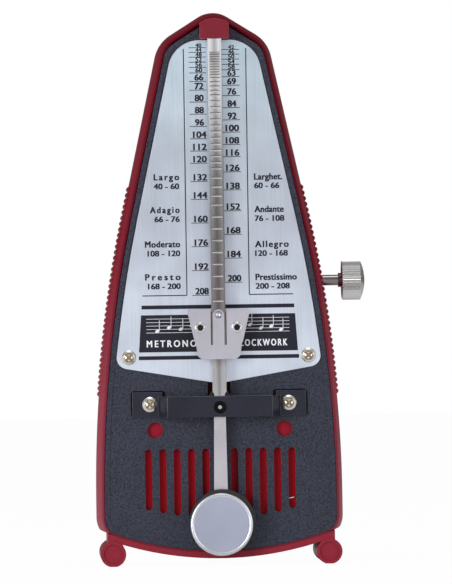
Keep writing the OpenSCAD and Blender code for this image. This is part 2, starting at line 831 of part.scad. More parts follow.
module side_plate(x, bores) {
    difference() {
        along_x(x, x + side_plate_t)
            polygon(concat(
                [[side_back_high, side_high], [side_back_low, third_at[1]], [side_back_low, side_low]],
                [[bar_back_y, side_low]],
                [for (z = [lower_bar_z, upper_bar_z]) for (p = tab_form) [p[0], z + p[1]]],
                [[bar_back_y, side_high]]
            ));
        for (p = pillar_at) bar_x(x - 1, x + side_plate_t + 1, 0.7, p);
        for (b = bores) bar_x(x - 1, x + side_plate_t + 1, b[2] + run_gap, [b[0], b[1]]);
        block(
            [x - 1, cock_y[0] - run_gap, cock_z[0] + 0.6 - run_gap],
            [x + side_plate_t + 1, cock_y[1] + run_gap, cock_z[1] - 0.6 + run_gap]
        );
    }
}

module left_side_plate() {
    color(brass)
    difference() {
        side_plate(side_left_x, [
            [winder_at[0], winder_at[1], 1.2], [second_at[0], second_at[1], pivot_r],
            [third_at[0], third_at[1], pivot_r], [escape_at[0], escape_at[1], pivot_r]
        ]);
        bar_x(side_left_x - 1, side_left_x + 2, 0.7, cock_foot_at);
    }
}

module right_side_plate() {
    color(brass)
    union() {
        difference() {
            side_plate(side_right_x, [
                [winder_at[0], winder_at[1], shaft_r], [second_at[0], second_at[1], pivot_r],
                [third_at[0], third_at[1], pivot_r]
            ]);
            bar_x(side_right_x - 1, side_right_x + 2, 0.7, click_pivot);
        }
        bar_x(side_right_x + side_plate_t - 0.2, ratchet_x + ratchet_t, 0.8, spring_post_at);
    }
}

module pillars() {
    color(steel)
    for (p = pillar_at)
        difference() {
            bar_x(side_left_x + side_plate_t, side_right_x, pillar_r, p);
            for (x = [side_left_x, side_right_x - 4]) bar_x(x, x + 5, 0.7, p);
        }
}

module pillar_screws() {
    color(nickel)
    for (p = pillar_at) {
        bar_x(side_left_x - 0.7, side_left_x, 1.3, p);
        bar_x(side_left_x - 0.3, side_left_x + 4, 0.7, p);
        bar_x(side_right_x + side_plate_t, side_right_x + side_plate_t + 0.7, 1.3, p);
        bar_x(side_right_x - 3, side_right_x + side_plate_t + 0.3, 0.7, p);
    }
}

// Carries the rear pivot of the pendulum's staff
module rear_cock() {
    color(brass)
    difference() {
        union() {
            block(
                [side_left_x + side_plate_t, cock_y[0], cock_z[0]],
                [side_right_x, cock_y[1], cock_z[1]]
            );
            block(
                [side_left_x, cock_y[0], cock_z[0] + 0.6],
                [side_right_x + side_plate_t, cock_y[1], cock_z[1] - 0.6]
            );
        }
        bar_y(cock_y[0] - 1, cock_y[1] + 1, pivot_r + run_gap, [0, pivot_h]);
    }
}

// Carries the inner end of the escape arbor, on a foot screwed to the left side plate
cock_foot_at = [escape_at[0], escape_at[1] - 5.7];
escape_cock_x = -8.7;

module escape_cock() {
    color(brass)
    difference() {
        union() {
            block(
                [escape_cock_x, escape_at[0] - 2.6, cock_foot_at[1] - 1.2],
                [escape_cock_x + 1, escape_at[0] + 2.6, escape_at[1] + 2.4]
            );
            block(
                [side_left_x + side_plate_t, escape_at[0] - 2.6, cock_foot_at[1] - 1.2],
                [escape_cock_x + 0.5, escape_at[0] + 2.6, cock_foot_at[1] + 1.2]
            );
        }
        bar_x(escape_cock_x - 1, escape_cock_x + 2, 0.7 + run_gap, escape_at);
        bar_x(side_left_x, side_left_x + 4, 0.7, cock_foot_at);
    }
}

bush_r = 2.6;

module key_bush() {
    outer = side_x(winder_h) - 0.3;
    color(brass)
    difference() {
        union() {
            bar_x(outer - 3, outer, bush_r, winder_at);
            bar_x(outer - 4, outer - 3, bush_r + 0.8, winder_at);
        }
        bar_x(outer - 5, outer + 1, shaft_r + run_gap, winder_at);
    }
}

// ---- Pendulum ----

// Height above the pivot of the weight's upper edge for a tempo in beats a minute.
// It is the law of a pendulum whose upper weight slides: the closer the weight is to the pivot,
// the faster it swings.
tempo_torque = 36690;
tempo_weight_torque = 350.2;
tempo_inertia = 5675;
tempo_index = 6.18;
function tempo_rise(beats) =
    let (w = pow(beats / 100, 2), b = tempo_weight_torque)
    tempo_index + (sqrt(b * b + 4 * w * (tempo_torque - tempo_inertia * w)) - b) / (2 * w);

tempos = concat(
    [for (t = [40:2:58]) t], [for (t = [60:3:69]) t], [for (t = [72:4:116]) t],
    [for (t = [120:6:138]) t], [for (t = [144:8:208]) t]
);
dimple_drop = 1.65;
rod_low = pivot_h + 3.75;
hub_rivet_z = 2.1;

module pendulum_rod() {
    tongue_half = rod_w / 2 - rod_t;
    color(steel)
    difference() {
        union() {
            along_y(rod_front_y, rod_back_y)
                offset(r = 1, $fn = 32) offset(delta = -1)
                    translate([-rod_w / 2, rod_low]) square([rod_w, rod_tip_z - rod_low]);
            block([-tongue_half, web_y, pivot_h + 1.2], [tongue_half, rod_back_y, rod_low + 2]);
        }
        block([-tongue_half, rod_front_y - 1, rod_low - 1], [tongue_half, web_y, rod_tip_z + 1]);
        for (t = tempos)
            bar_x(-tongue_half, tongue_half, 0.35, [web_y - 0.15, pivot_h + tempo_rise(t) - dimple_drop]);
        bar_y(web_y - 1, rod_back_y + 1, 0.5, [0, pivot_h + hub_rivet_z]);
    }
}

hub_top = 4.5;
hub_low = 2.7;
hub_half_w = 4.2;
hub_half_top = 2.3;
hub_shoulder = 1;
hub_boss_r = 2.2;
hub_t = 1;

module pendulum_hub() {
    color(steel)
    difference() {
        union() {
            along_y(rod_back_y, rod_back_y + hub_t)
                translate([0, pivot_h])
                    polygon([
                        [-hub_half_top, hub_top], [hub_half_top, hub_top], [hub_half_w, hub_shoulder],
                        [hub_half_w, -hub_low], [-hub_half_w, -hub_low], [-hub_half_w, hub_shoulder]
                    ]);
            bar_y(rod_back_y + 0.5, panel_y + 0.2, hub_boss_r, [0, pivot_h]);
        }
        bar_y(rod_back_y - 1, panel_y + 1, staff_r + 0.01, [0, pivot_h]);
        for (s = [-1, 1]) bar_y(rod_back_y - 1, rod_back_y + hub_t + 1, 0.5, [0, pivot_h + hub_rivet_z * s]);
    }
}

module hub_rivets() {
    color(nickel)
    for (s = [-1, 1]) {
        bar_y(arm_front_y, rod_back_y + hub_t, 0.5, [0, pivot_h + hub_rivet_z * s]);
        bar_y(arm_front_y - 0.3, s > 0 ? web_y : arm_front_y, 0.8, [0, pivot_h + hub_rivet_z * s]);
    }
}

arm_t = 0.6;
arm_front_y = rod_back_y - arm_t;
bob_z = pivot_h - bob_drop;
bob_back_y = rim_y - 0.9;
bob_front_y = bob_back_y - bob_t;
skin_t = 0.4;
roll_r = 0.6;
face_step = 0.15;
arm_end = 3;

module lower_arm() {
    color(steel)
    difference() {
        along_y(arm_front_y, rod_back_y)
            polygon([
                [-arm_w_top / 2, pivot_h - 1.2], [arm_w_top / 2, pivot_h - 1.2],
                [arm_w_top / 2, pivot_h - 3],
                [arm_w_low / 2, bob_z + bob_r], [arm_w_low / 2, bob_z - arm_end],
                [-arm_w_low / 2, bob_z - arm_end], [-arm_w_low / 2, bob_z + bob_r],
                [-arm_w_top / 2, pivot_h - 3]
            ]);
        bar_y(arm_front_y - 1, rod_back_y + 1, 0.5, [0, pivot_h - hub_rivet_z]);
        bar_y(arm_front_y - 1, rod_back_y + 1, 1.2, [0, bob_z]);
    }
}

module bob_core() {
    color(steel)
    difference() {
        union() {
            bar_y(bob_front_y + 2 * roll_r + 0.02, bob_back_y, bob_r - skin_t - 0.02, [0, bob_z]);
            bar_y(bob_front_y + skin_t + face_step, bob_back_y, bob_r - 2 * roll_r - 0.02, [0, bob_z]);
        }
        block(
            [-arm_w_low / 2 - 0.05, arm_front_y, bob_z - arm_end - 0.1],
            [arm_w_low / 2 + 0.05, bob_back_y + 1, bob_z + bob_r]
        );
        bar_y(arm_front_y - 2, arm_front_y + 1, 1.2, [0, bob_z]);
    }
}

// Pressed cap with a rolled rim and a flat face that lies a little deeper
module bob_cover() {
    roll_y = bob_front_y + roll_r;
    color(nickel)
    translate([0, 0, bob_z]) rotate([90, 0, 0]) rotate_extrude($fn = 96)
        union() {
            translate([0, -bob_front_y - skin_t - face_step]) square([bob_r - roll_r, skin_t]);
            translate([bob_r - skin_t, 0.1 - arm_front_y]) square([skin_t, arm_front_y - roll_y - 0.1]);
            translate([bob_r - roll_r, -roll_y]) circle(roll_r, $fn = 32);
        }
}

module bob_rivet() {
    color(nickel)
    union() {
        bar_y(arm_front_y - 2, rod_back_y + 0.3, 1.2, [0, bob_z]);
        bar_y(rod_back_y, rod_back_y + 0.8, arm_w_low / 2 - 0.15, [0, bob_z]);
    }
}

front_pivot_y = bridge_front_y - 0.2;
staff_front_y = bridge_in_y + 0.3;
staff_back_y = cock_y[0] - 0.3;

module pendulum_staff() {
    color(steel)
    union() {
        bar_y(front_pivot_y, staff_front_y + 0.5, pivot_r, [0, pivot_h]);
        bar_y(staff_front_y, staff_back_y, staff_r, [0, pivot_h]);
        bar_y(staff_back_y - 0.5, cock_y[1] - 0.2, pivot_r, [0, pivot_h]);
    }
}

// Two flags that reach for the crown wheel's teeth at opposite ends of its diameter
module pallets() {
    wide = 1.6;
    color(steel)
    for (s = [-1, 1])
        translate([0, escape_at[0] + s * (crown_r - crown_t / 2), pivot_h])
            difference() {
                union() {
                    bar_y(-wide / 2, wide / 2, staff_r + 0.6, [0, 0]);
                    rotate([0, s * pallet_spread, 0])
                        block(
                            [-pallet_reach, -wide / 2, -pallet_t / 2],
                            [-staff_r - 0.2, wide / 2, pallet_t / 2]
                        );
                }
                bar_y(-wide, wide, staff_r + 0.01, [0, 0]);
            }
}

// ---- Tempo weight ----

weight_low = weight_top - weight_h;
tongue_half = 1.6;
tongue_slot = 0.7;
tongue_centre = weight_top - 0.2 - tongue_half;
weight_cut = 1;
weight_rivet_z = weight_top - 5.35;
weight_rivet_r = 1.15;
rivet_hole_r = weight_rivet_r + 0.01;
block_high = weight_top - 0.8;
block_low = weight_low + 4;
block_back_y = rod_back_y + 1.2;
dimple_r = 1.5;
dimple_tip = 0.1;

function weight_half(z) =
    (weight_w_low + (weight_w_top - weight_w_low) * (z - weight_low) / weight_h) / 2;

module weight_plate() {
    jog = weight_low + 5;
    dimple_y = web_y - dimple_tip - dimple_r;
    color(steel)
    difference() {
        union() {
            along_y(weight_front_y, weight_back_y)
                difference() {
                    offset(r = 0.7, $fn = 32) offset(delta = -0.7) polygon([
                        [-weight_half(weight_top), weight_top], [weight_half(weight_top), weight_top],
                        [weight_half(jog) - 0.2, jog], [weight_half(jog) - 0.5, jog - 0.5],
                        [weight_half(weight_low) + 0.1, weight_low + weight_cut],
                        [weight_half(weight_low) - weight_cut, weight_low],
                        [weight_cut - weight_half(weight_low), weight_low],
                        [-weight_half(weight_low) - 0.1, weight_low + weight_cut],
                        [0.5 - weight_half(jog), jog - 0.5], [0.2 - weight_half(jog), jog]
                    ]);
                    for (s = [0, 1]) mirror([s, 0])
                        translate([tongue_half, jog - 0.9]) square([tongue_slot, weight_h]);
                    // the tongue's end is round
                    difference() {
                        translate([-tongue_half, tongue_centre]) square(2 * tongue_half);
                        translate([0, tongue_centre]) circle(tongue_half);
                    }
                }
            intersection() {
                translate([0, dimple_y, weight_top - dimple_drop]) sphere(dimple_r);
                block([-2, weight_front_y, weight_low], [2, web_y, weight_top]);
            }
        }
        translate([0, dimple_y, weight_top - dimple_drop]) sphere(dimple_r - 0.4);
        for (s = [-1, 1])
            bar_y(weight_front_y - 1, weight_back_y + 1, rivet_hole_r, [s * weight_rivet_x, weight_rivet_z]);
    }
}

module weight_block() {
    inner = rod_w / 2 + slide_gap;
    color(steel)
    difference() {
        along_y(weight_back_y, block_back_y)
            offset(r = 0.6, $fn = 32) offset(delta = -0.6) polygon([
                [-weight_half(block_high) + 1, block_high], [weight_half(block_high) - 1, block_high],
                [weight_half(block_low) - 0.6, block_low], [-weight_half(block_low) + 0.6, block_low]
            ]);
        block([-inner, weight_back_y - 1, weight_low], [inner, rod_back_y + slide_gap, weight_top]);
        for (s = [-1, 1])
            bar_y(weight_back_y - 1, block_back_y + 1, rivet_hole_r, [s * weight_rivet_x, weight_rivet_z]);
    }
}

module weight_rivets() {
    color(nickel)
    for (s = [-1, 1])
        difference() {
            union() {
                bar_y(weight_front_y, block_back_y, weight_rivet_r, [s * weight_rivet_x, weight_rivet_z]);
                bar_y(weight_front_y - 0.4, weight_front_y, 1.4, [s * weight_rivet_x, weight_rivet_z], 1.7);
            }
            bar_y(weight_front_y - 1, block_back_y - 1, 0.88, [s * weight_rivet_x, weight_rivet_z]);
        }
}

// ---- Clockwork ----

// Flat outline of an involute gear; the first tooth points at the angle phase
pressure = 20;
tooth_slack = 0.14;
function involute(a) = tan(a) * 180 / PI - a;
function tooth_half(n, r) =
    let (base = wheel_m * n / 2 * cos(pressure))
    90 / n * (1 - tooth_slack) + involute(pressure) - involute(acos(min(1, base / max(r, base))));

module gear_outline(n, addendum, phase) {
    pitch_r = wheel_m * n / 2;
    root = pitch_r - 1.2 * wheel_m;
    low = max(root + 0.01, pitch_r * cos(pressure));
    tip = pitch_r + addendum * wheel_m;
    radii = [low, pitch_r, tip];
    polygon([for (i = [0:n - 1]) let (a = phase + i * 360 / n) each concat(
        [polar(root, a - tooth_half(n, low) - 30 / n)],
        [for (k = [0:2]) polar(radii[k], a - tooth_half(n, radii[k]))],
        [for (k = [2:-1:0]) polar(radii[k], a + tooth_half(n, radii[k]))],
        [polar(root, a + tooth_half(n, low) + 30 / n)]
    )]);
}

// Direction from one arbor to the next
function bearing_of(p, q) = atan2(q[1] - p[1], q[0] - p[0]);

// Angle of the first tooth of a gear at q with m teeth, in mesh with one at p with n teeth
function mesh_phase(p, n, phase, q, m) =
    bearing_of(p, q) + 180 + 180 / m - (phase - bearing_of(p, q)) * n / m;

wheel_addendum = 0.7;
leaf_addendum = 0.8;
great_phase = 0;
second_pinion_phase = mesh_phase(winder_at, great_teeth, great_phase, second_at, second_leaves);
third_pinion_phase = mesh_phase(second_at, train_teeth, 0, third_at, train_leaves);
escape_pinion_phase = mesh_phase(third_at, train_teeth, 0, escape_at, train_leaves);

module gear(at, n, addendum, phase, x0, x1) {
    along_x(x0, x1) translate(at) gear_outline(n, addendum, phase);
}

// Wheel with five round windows between hub and rim
module wheel(at, n, phase, x0, bore) {
    r = wheel_m * n / 2;
    difference() {
        gear(at, n, wheel_addendum, phase, x0, x0 + wheel_t);
        bar_x(x0 - 1, x0 + wheel_t + 1, bore, at);
        for (i = [0:4]) bar_x(x0 - 1, x0 + wheel_t + 1, r * 0.24, at + polar(r * 0.55, i * 72));
    }
}

drum_x = great_x + great_t;
drum_end = 6.4;
cap_t = 0.8;
arbor_core_r = 2;
end_play = 0.2;

module winding_arbor() {
    color(steel)
    union() {
        bar_x(side_left_x, side_left_x + side_plate_t + 0.8, 1.2, winder_at);
        bar_x(side_left_x + side_plate_t + 0.3, knob_x, shaft_r, winder_at);
        bar_x(drum_x + 1, drum_end - end_play, arbor_core_r, winder_at);
        bar_x(knob_x - 0.5, knob_x + knob_l - 2.5, tang_r, winder_at);
    }
}

module ratchet_wheel() {
    step = 360 / ratchet_teeth;
    color(steel)
    difference() {
        along_x(ratchet_x, ratchet_x + ratchet_t)
            translate(winder_at)
                polygon([for (i = [0:ratchet_teeth - 1]) let (a = click_angle + i * step) each [
                    polar(ratchet_r - ratchet_depth, a - 0.1), polar(ratchet_r, a)
                ]]);
        bar_x(ratchet_x - 1, ratchet_x + ratchet_t + 1, shaft_r + 0.01, winder_at);
    }
}

knob_x = 36;
hub_l = 1;
hub_outer_r = 2.05;
tang_r = 1.1;
dome_h = 1.35;
knurl_h = 0.3;

// Half section of the knob, as [radius, distance along the shaft]; its outer end is domed
module knob_section() {
    wide = knob_r + 0.3;
    dome_r = (knob_r * knob_r + dome_h * dome_h) / (2 * dome_h);
    spread = asin(wide / dome_r);
    polygon(concat(
        [[0, 0], [knob_r - knurl_h - 0.1, 0], [wide, knurl_h + 0.2]],
        [for (a = [spread:-spread / 7:0.01]) [dome_r * sin(a), knob_l - dome_r + dome_r * cos(a)]],
        [[0, knob_l]]
    ));
}

module winding_knob() {
    color(nickel)
    difference() {
        union() {
            intersection() {
                along_x(knob_x - 1, knob_x + knob_l + 1)
                    translate(winder_at)
                        polygon([for (i = [0:2 * knurl_count - 1])
                            polar(knob_r - (i % 2) * knurl_h, i * 180 / knurl_count)]);
                translate([knob_x, winder_at[0], winder_at[1]])
                    rotate([0, 90, 0]) rotate_extrude($fn = 96) knob_section();
            }
            bar_x(knob_x - hub_l, knob_x + 0.3, hub_outer_r, winder_at);
        }
        bar_x(knob_x - hub_l - 1, knob_x, shaft_r + 0.01, winder_at);
        bar_x(knob_x - 1, knob_x + knob_l - 2.4, tang_r + 0.01, winder_at);
    }
}

module great_wheel() {
    color(brass)
    difference() {
        gear(winder_at, great_teeth, wheel_addendum, great_phase, great_x, great_x + great_t);
        bar_x(great_x - 1, great_x + great_t + 1, shaft_r + run_gap, winder_at);
    }
}

drum_t = 0.8;

module spring_barrel() {
    color(brass)
    difference() {
        bar_x(drum_x, drum_end, drum_r, winder_at);
        bar_x(drum_x + drum_t, drum_end + 1, drum_r - drum_t, winder_at);
        bar_x(drum_x - 1, drum_end, shaft_r + run_gap, winder_at);
    }
}

module barrel_cap() {
    color(brass)
    difference() {
        bar_x(drum_end, drum_end + cap_t, drum_r, winder_at);
        bar_x(drum_end - 1, drum_end + cap_t + 1, shaft_r + run_gap, winder_at);
    }
}

// Flat spiral that winds out from the arbor's core to the drum's wall
module mainspring() {
    strip = 0.35;
    first = arbor_core_r + run_gap;
    last = drum_r - drum_t - strip - 0.02;
    steps = 20;
    count = spring_turns * steps;
    color(steel)
    along_x(drum_x + drum_t + 0.3, drum_end - 0.3)
        translate(winder_at)
            polygon(concat(
                [for (i = [0:count]) polar(first + (last - first) * i / count + 0.02, i * 360 / steps)],
                [for (i = [count:-1:0]) polar(first + (last - first) * i / count + strip, i * 360 / steps)]
            ));
}

click_tip = 4;
click_seat = 0.16;
function tooth_slope(a) =
    ratchet_r - ratchet_depth * (a - click_angle + 360 / ratchet_teeth) / (360 / ratchet_teeth);

module click() {
    near = click_angle - click_tip;
    far = click_angle - 360 / ratchet_teeth;
    color(steel)
    difference() {
        along_x(ratchet_x, ratchet_x + ratchet_t)
            union() {
                translate(click_pivot) circle(1.5);
                polygon([
                    winder_at + polar(tooth_slope(near) + click_seat, near),
                    winder_at + polar(ratchet_r + click_seat, far),
                    click_pivot + [-1, 1], click_pivot + [1.4, 0],
                    winder_at + polar(ratchet_r + 1.4, far + 5),
                    winder_at + polar(ratchet_r + 0.5, near - 1)
                ]);
            }
        bar_x(ratchet_x - 1, ratchet_x + ratchet_t + 1, 0.75 + run_gap, click_pivot);
    }
}

module click_screw() {
    color(nickel)
    union() {
        bar_x(side_right_x, side_right_x + side_plate_t, 0.7, click_pivot);
        bar_x(side_right_x + side_plate_t, ratchet_x + ratchet_t + 0.1, 0.75, click_pivot);
        bar_x(ratchet_x + ratchet_t + 0.1, ratchet_x + ratchet_t + 0.7, 1.4, click_pivot);
    }
}

spring_post_at = click_pivot + [3.6, -2.6];

module click_spring() {
    from = spring_post_at + [1.1, 0];
    to = winder_at + polar(ratchet_r + 1.75, click_angle - 10);
    color(steel)
    difference() {
        along_x(ratchet_x + 0.15, ratchet_x + ratchet_t - 0.15)
            union() {
                translate(spring_post_at) circle(1.3);
                polygon([from + [-0.3, 0], from, to + [0.3, 0.1], to]);
            }
        bar_x(ratchet_x - 1, ratchet_x + ratchet_t + 1, 0.8 + 0.01, spring_post_at);
    }
}

// Arbor with its leaves, between the two side plates
module train_arbor(at, leaves, phase, x0, x1) {
    union() {
        bar_x(side_left_x, side_right_x + side_plate_t, pivot_r, at);
        bar_x(side_left_x + side_plate_t + end_play, side_right_x - end_play, 1, at);
        gear(at, leaves, leaf_addendum, phase, x0, x1);
    }
}

module second_arbor() {
    color(steel)
    train_arbor(second_at, second_leaves, second_pinion_phase, great_x - 0.4, great_x + great_t + 0.4);
}

module second_wheel() {
    color(brass) wheel(second_at, train_teeth, 0, second_x, 1.01);
}

module third_arbor() {
    color(steel)
    train_arbor(third_at, train_leaves, third_pinion_phase, second_x - 0.6, second_x + wheel_t + 0.4);
}

module third_wheel() {
    color(brass) wheel(third_at, train_teeth, 0, third_x, 1.01);
}

module escape_arbor() {
    color(steel)
    union() {
        bar_x(side_left_x, side_left_x + side_plate_t + 1, pivot_r, escape_at);
        bar_x(side_left_x + side_plate_t + end_play, escape_cock_x - end_play, 1, escape_at);
        bar_x(escape_cock_x - 0.5, crown_back_x + 2, 0.7, escape_at);
        gear(
            escape_at, train_leaves, leaf_addendum, escape_pinion_phase,
            third_x - 0.4, third_x + wheel_t + 0.4
        );
    }
}

// Crown wheel: a cup whose rim is cut into saw teeth that face the pendulum's staff
crown_phase = 6.4;

module escape_wheel() {
    mid_r = crown_r - crown_t / 2;
    pitch = 2 * PI * mid_r / escape_teeth;
    land = 0.2;
    floor_w = 1.1;
    color(brass)
    difference() {
        bar_x(crown_back_x, crown_tip_x, crown_r, escape_at);
        bar_x(crown_back_x + crown_t, crown_tip_x + 1, crown_r - crown_t, escape_at);
        bar_x(crown_back_x - 1, crown_tip_x, 0.71, escape_at);
        for (i = [0:escape_teeth - 1])
            translate([crown_tip_x, escape_at[0], escape_at[1]])
                rotate([180 + crown_phase + i * 360 / escape_teeth, 0, 0])
                    translate([0, crown_r + 1, 0]) rotate([90, 0, 0]) linear_extrude(3)
                        polygon([
                            [0.5, 0], [0.5, pitch - land], [0, pitch - land],
                            [-crown_depth, floor_w], [-crown_depth, 0]
                        ]);
    }
}

// ---- Pieces drawn ----

case_shell();
base_tray();
base_screws();
inner_panel();
front_plate();
scale_plate();
scale_screws();
pendulum_catch();
pendulum_bridge();
bridge_screws();
front_bearing();
lower_bar();
upper_bar();
bar_screws();
left_side_plate();
right_side_plate();
pillars();
pillar_screws();
rear_cock();
escape_cock();
key_bush();
pendulum_rod();
pendulum_hub();
hub_rivets();
lower_arm();
bob_core();
bob_cover();
bob_rivet();
pendulum_staff();
pallets();
weight_plate();
weight_block();
weight_rivets();
winding_arbor();
ratchet_wheel();
winding_knob();
great_wheel();
spring_barrel();
barrel_cap();
mainspring();
click();
click_screw();
click_spring();
second_arbor();
second_wheel();
third_arbor();
third_wheel();
escape_arbor();
escape_wheel();
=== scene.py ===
import json
import math
import bpy
from mathutils import Matrix, Vector

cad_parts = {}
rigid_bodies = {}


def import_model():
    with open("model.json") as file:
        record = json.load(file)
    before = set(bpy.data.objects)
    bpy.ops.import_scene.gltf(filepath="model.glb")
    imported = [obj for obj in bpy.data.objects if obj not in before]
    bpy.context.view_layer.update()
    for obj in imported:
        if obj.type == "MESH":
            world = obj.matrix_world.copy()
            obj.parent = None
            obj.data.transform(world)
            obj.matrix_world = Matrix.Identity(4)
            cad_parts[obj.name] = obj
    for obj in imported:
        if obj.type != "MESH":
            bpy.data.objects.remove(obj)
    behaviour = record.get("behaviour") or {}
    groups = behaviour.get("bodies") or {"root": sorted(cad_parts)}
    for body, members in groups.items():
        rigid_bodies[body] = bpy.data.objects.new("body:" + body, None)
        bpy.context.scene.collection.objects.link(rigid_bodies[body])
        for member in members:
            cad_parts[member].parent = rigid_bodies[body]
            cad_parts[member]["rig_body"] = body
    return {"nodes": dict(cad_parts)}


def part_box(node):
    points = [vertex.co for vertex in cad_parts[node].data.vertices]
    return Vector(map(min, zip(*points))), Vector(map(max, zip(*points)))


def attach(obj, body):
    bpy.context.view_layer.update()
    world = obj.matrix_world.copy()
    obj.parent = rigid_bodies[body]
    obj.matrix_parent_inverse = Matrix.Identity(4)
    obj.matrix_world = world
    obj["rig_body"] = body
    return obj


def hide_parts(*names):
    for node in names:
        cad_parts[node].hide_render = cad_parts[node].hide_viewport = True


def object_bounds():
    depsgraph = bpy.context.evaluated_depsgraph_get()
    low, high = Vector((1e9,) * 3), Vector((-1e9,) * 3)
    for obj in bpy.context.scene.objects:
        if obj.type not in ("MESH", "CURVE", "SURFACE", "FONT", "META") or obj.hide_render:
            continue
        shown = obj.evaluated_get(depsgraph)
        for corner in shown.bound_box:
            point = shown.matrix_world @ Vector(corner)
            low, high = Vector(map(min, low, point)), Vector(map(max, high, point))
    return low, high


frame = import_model()
solid_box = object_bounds()
mm = 0.001

# ---- Case shell ----
# Pyramid case of red ABS, injection moulded in one piece with the grip ribs on its two long sides.
# Its thin front lip stands round the black plate, and its foot is cut to the arch of the base.
case_h = solid_box[1][2] / mm + 0.4
half_w = 35.8
roof_angle, side_lean = math.radians(32), math.radians(12.3)
apex_r, shoulder_r, side_r, heel_r, belly_r = 8, 10, 390, 7, 96.5
belly_z = 98.5
front_d, back_d, round_start, round_inset = 15, 18, 6, 6
rim_inset, lip_inset = 1.7, 2.2
dome_r, back_wall, side_wall, front_wall, shelf_y = 12, 1.6, 1.9, 3.5, -12.9
rib_low, rib_pitch, rib_count, rib_h, rib_half_d, rib_fade = 49, 1.65, 37, 0.55, 7.5, 1.2
back_lean = math.radians(3)


def case_edge():
    """Right half of the case's widest outline from the top down, as point and outward direction."""
    def arc(cx, cz, r, start, end, steps):
        turns = [start + (end - start) * i / steps for i in range(steps + 1)]
        return [(cx + r * math.cos(a), cz + r * math.sin(a), math.cos(a), math.sin(a)) for a in turns]

    def straight(p, q, steps):
        return [tuple(p[k] + (q[k] - p[k]) * i / steps for k in range(4)) for i in range(1, steps)]

    apex = arc(0, case_h - apex_r, apex_r, math.pi / 2, math.pi / 2 - roof_angle, 8)
    corner_x = 16
    corner_z = apex[-1][1] - (corner_x - apex[-1][0]) * math.tan(roof_angle)
    half_turn = (math.pi / 2 - roof_angle - side_lean) / 2
    middle = side_lean + half_turn
    reach = shoulder_r / math.cos(half_turn)
    shoulder = arc(corner_x - reach * math.cos(middle), corner_z - reach * math.sin(middle),
                   shoulder_r, math.pi / 2 - roof_angle, side_lean, 9)
    side_z = corner_z - (half_w - corner_x) / math.tan(side_lean)
    low_z = side_z - side_r * math.tan(side_lean / 2)
    heel_z = belly_z - math.sqrt((belly_r - heel_r) ** 2 - (half_w - heel_r) ** 2)
    heel_turn = math.atan2(heel_z - belly_z, half_w - heel_r)

    def side_at(z):
        if z > low_z + side_r * math.sin(side_lean):
            x = half_w - (z - side_z) * math.tan(side_lean)
            return (x, z, math.cos(side_lean), math.sin(side_lean))
        if z < low_z:
            return (half_w, z, 1, 0)
        a = math.asin((z - low_z) / side_r)
        return (half_w - side_r + side_r * math.cos(a), z, math.cos(a), math.sin(a))

    rib_high = rib_low + rib_count * rib_pitch
    heights = [rib_high + (shoulder[-1][1] - rib_high) * i / 7 for i in range(6, 0, -1)]
    heights += [rib_high - rib_pitch * i / 8 for i in range(rib_count * 8 + 1)]
    heights += [rib_low + (heel_z - rib_low) * i / 12 for i in range(1, 12)]
    heel = arc(half_w - heel_r, heel_z, heel_r, 0, heel_turn, 9)
    belly = arc(0, belly_z, belly_r, heel_turn, -math.pi / 2, 16)
    return (apex + straight(apex[-1], shoulder[0], 7) + shoulder + [side_at(z) for z in heights]
            + heel + belly[1:])


def case_point(edge, y, inset):
    """A point of the case's skin; behind the widest section the skin leans with the back."""
    x, z, nx, nz = edge
    if inset < 0.01 + rim_inset and rib_low < z < rib_low + rib_count * rib_pitch and abs(x) > 10:
        fade = min(1, max(0, (rib_half_d - abs(y)) / rib_fade))
        swell = abs(math.sin(math.pi * (z - rib_low) / rib_pitch)) ** 0.8
        inset -= rib_h * swell * math.sin(fade * math.pi / 2)
    x, z = x - nx * inset, z - nz * inset
    lean = back_lean * max(0, y) / back_d
    return Vector((x, y - z * math.sin(lean), z * math.cos(lean))) * mm


def nothing_selected():
    if bpy.context.object and bpy.context.object.mode != "OBJECT":
        bpy.ops.object.mode_set(mode="OBJECT")
    bpy.ops.object.select_all(action="DESELECT")


def edit_all(*steps):
    """Runs edit mode operators on the whole of the active piece."""
    bpy.ops.object.mode_set(mode="EDIT")
    bpy.ops.mesh.select_all(action="SELECT")
    for step in steps:
        step()
    bpy.ops.object.mode_set(mode="OBJECT")


def skin_path():
    """Depth and inset from the middle of the back, over the lip, to the inner wall and back again."""
    def dome(y):
        a = math.asin(min(1, max(0, (y - round_start) / dome_r)))
        return round_inset * (1 - math.cos(a))

    turns = (90, 82, 74, 66, 58, 50, 42, 34, 26, 19, 13)
    ys = [round_start + dome_r * math.sin(math.radians(a)) for a in turns]
    path = [(y, dome(y)) for y in ys + [7.6, 7.3, 7, 6.7, 6.3]]
    path += [(y, rim_inset * min(0, y) ** 2 / front_d ** 2)
             for y in (5, 3, 1, -1, -3, -5, -6.3, -6.7, -7, -7.3, -7.6, -9, -10.5, -12, -13.5, -14.4)]
    lip_r = (lip_inset - rim_inset) / 2
    for a in [math.radians(a) for a in range(0, 181, 30)]:
        path += [(lip_r * (1 - math.sin(a)) - front_d, rim_inset + lip_r * (1 - math.cos(a)))]
    path += [(-13.6, lip_inset), (shelf_y, lip_inset), (shelf_y, front_wall), (0, side_wall),
             (round_start, back_wall)]
    for a in [math.radians(a) for a in (20, 40, 60, 80, 90)]:
        path += [(round_start + (dome_r - back_wall) * math.sin(a),
                  back_wall + (round_inset - back_wall) * (1 - math.cos(a)))]
    return path


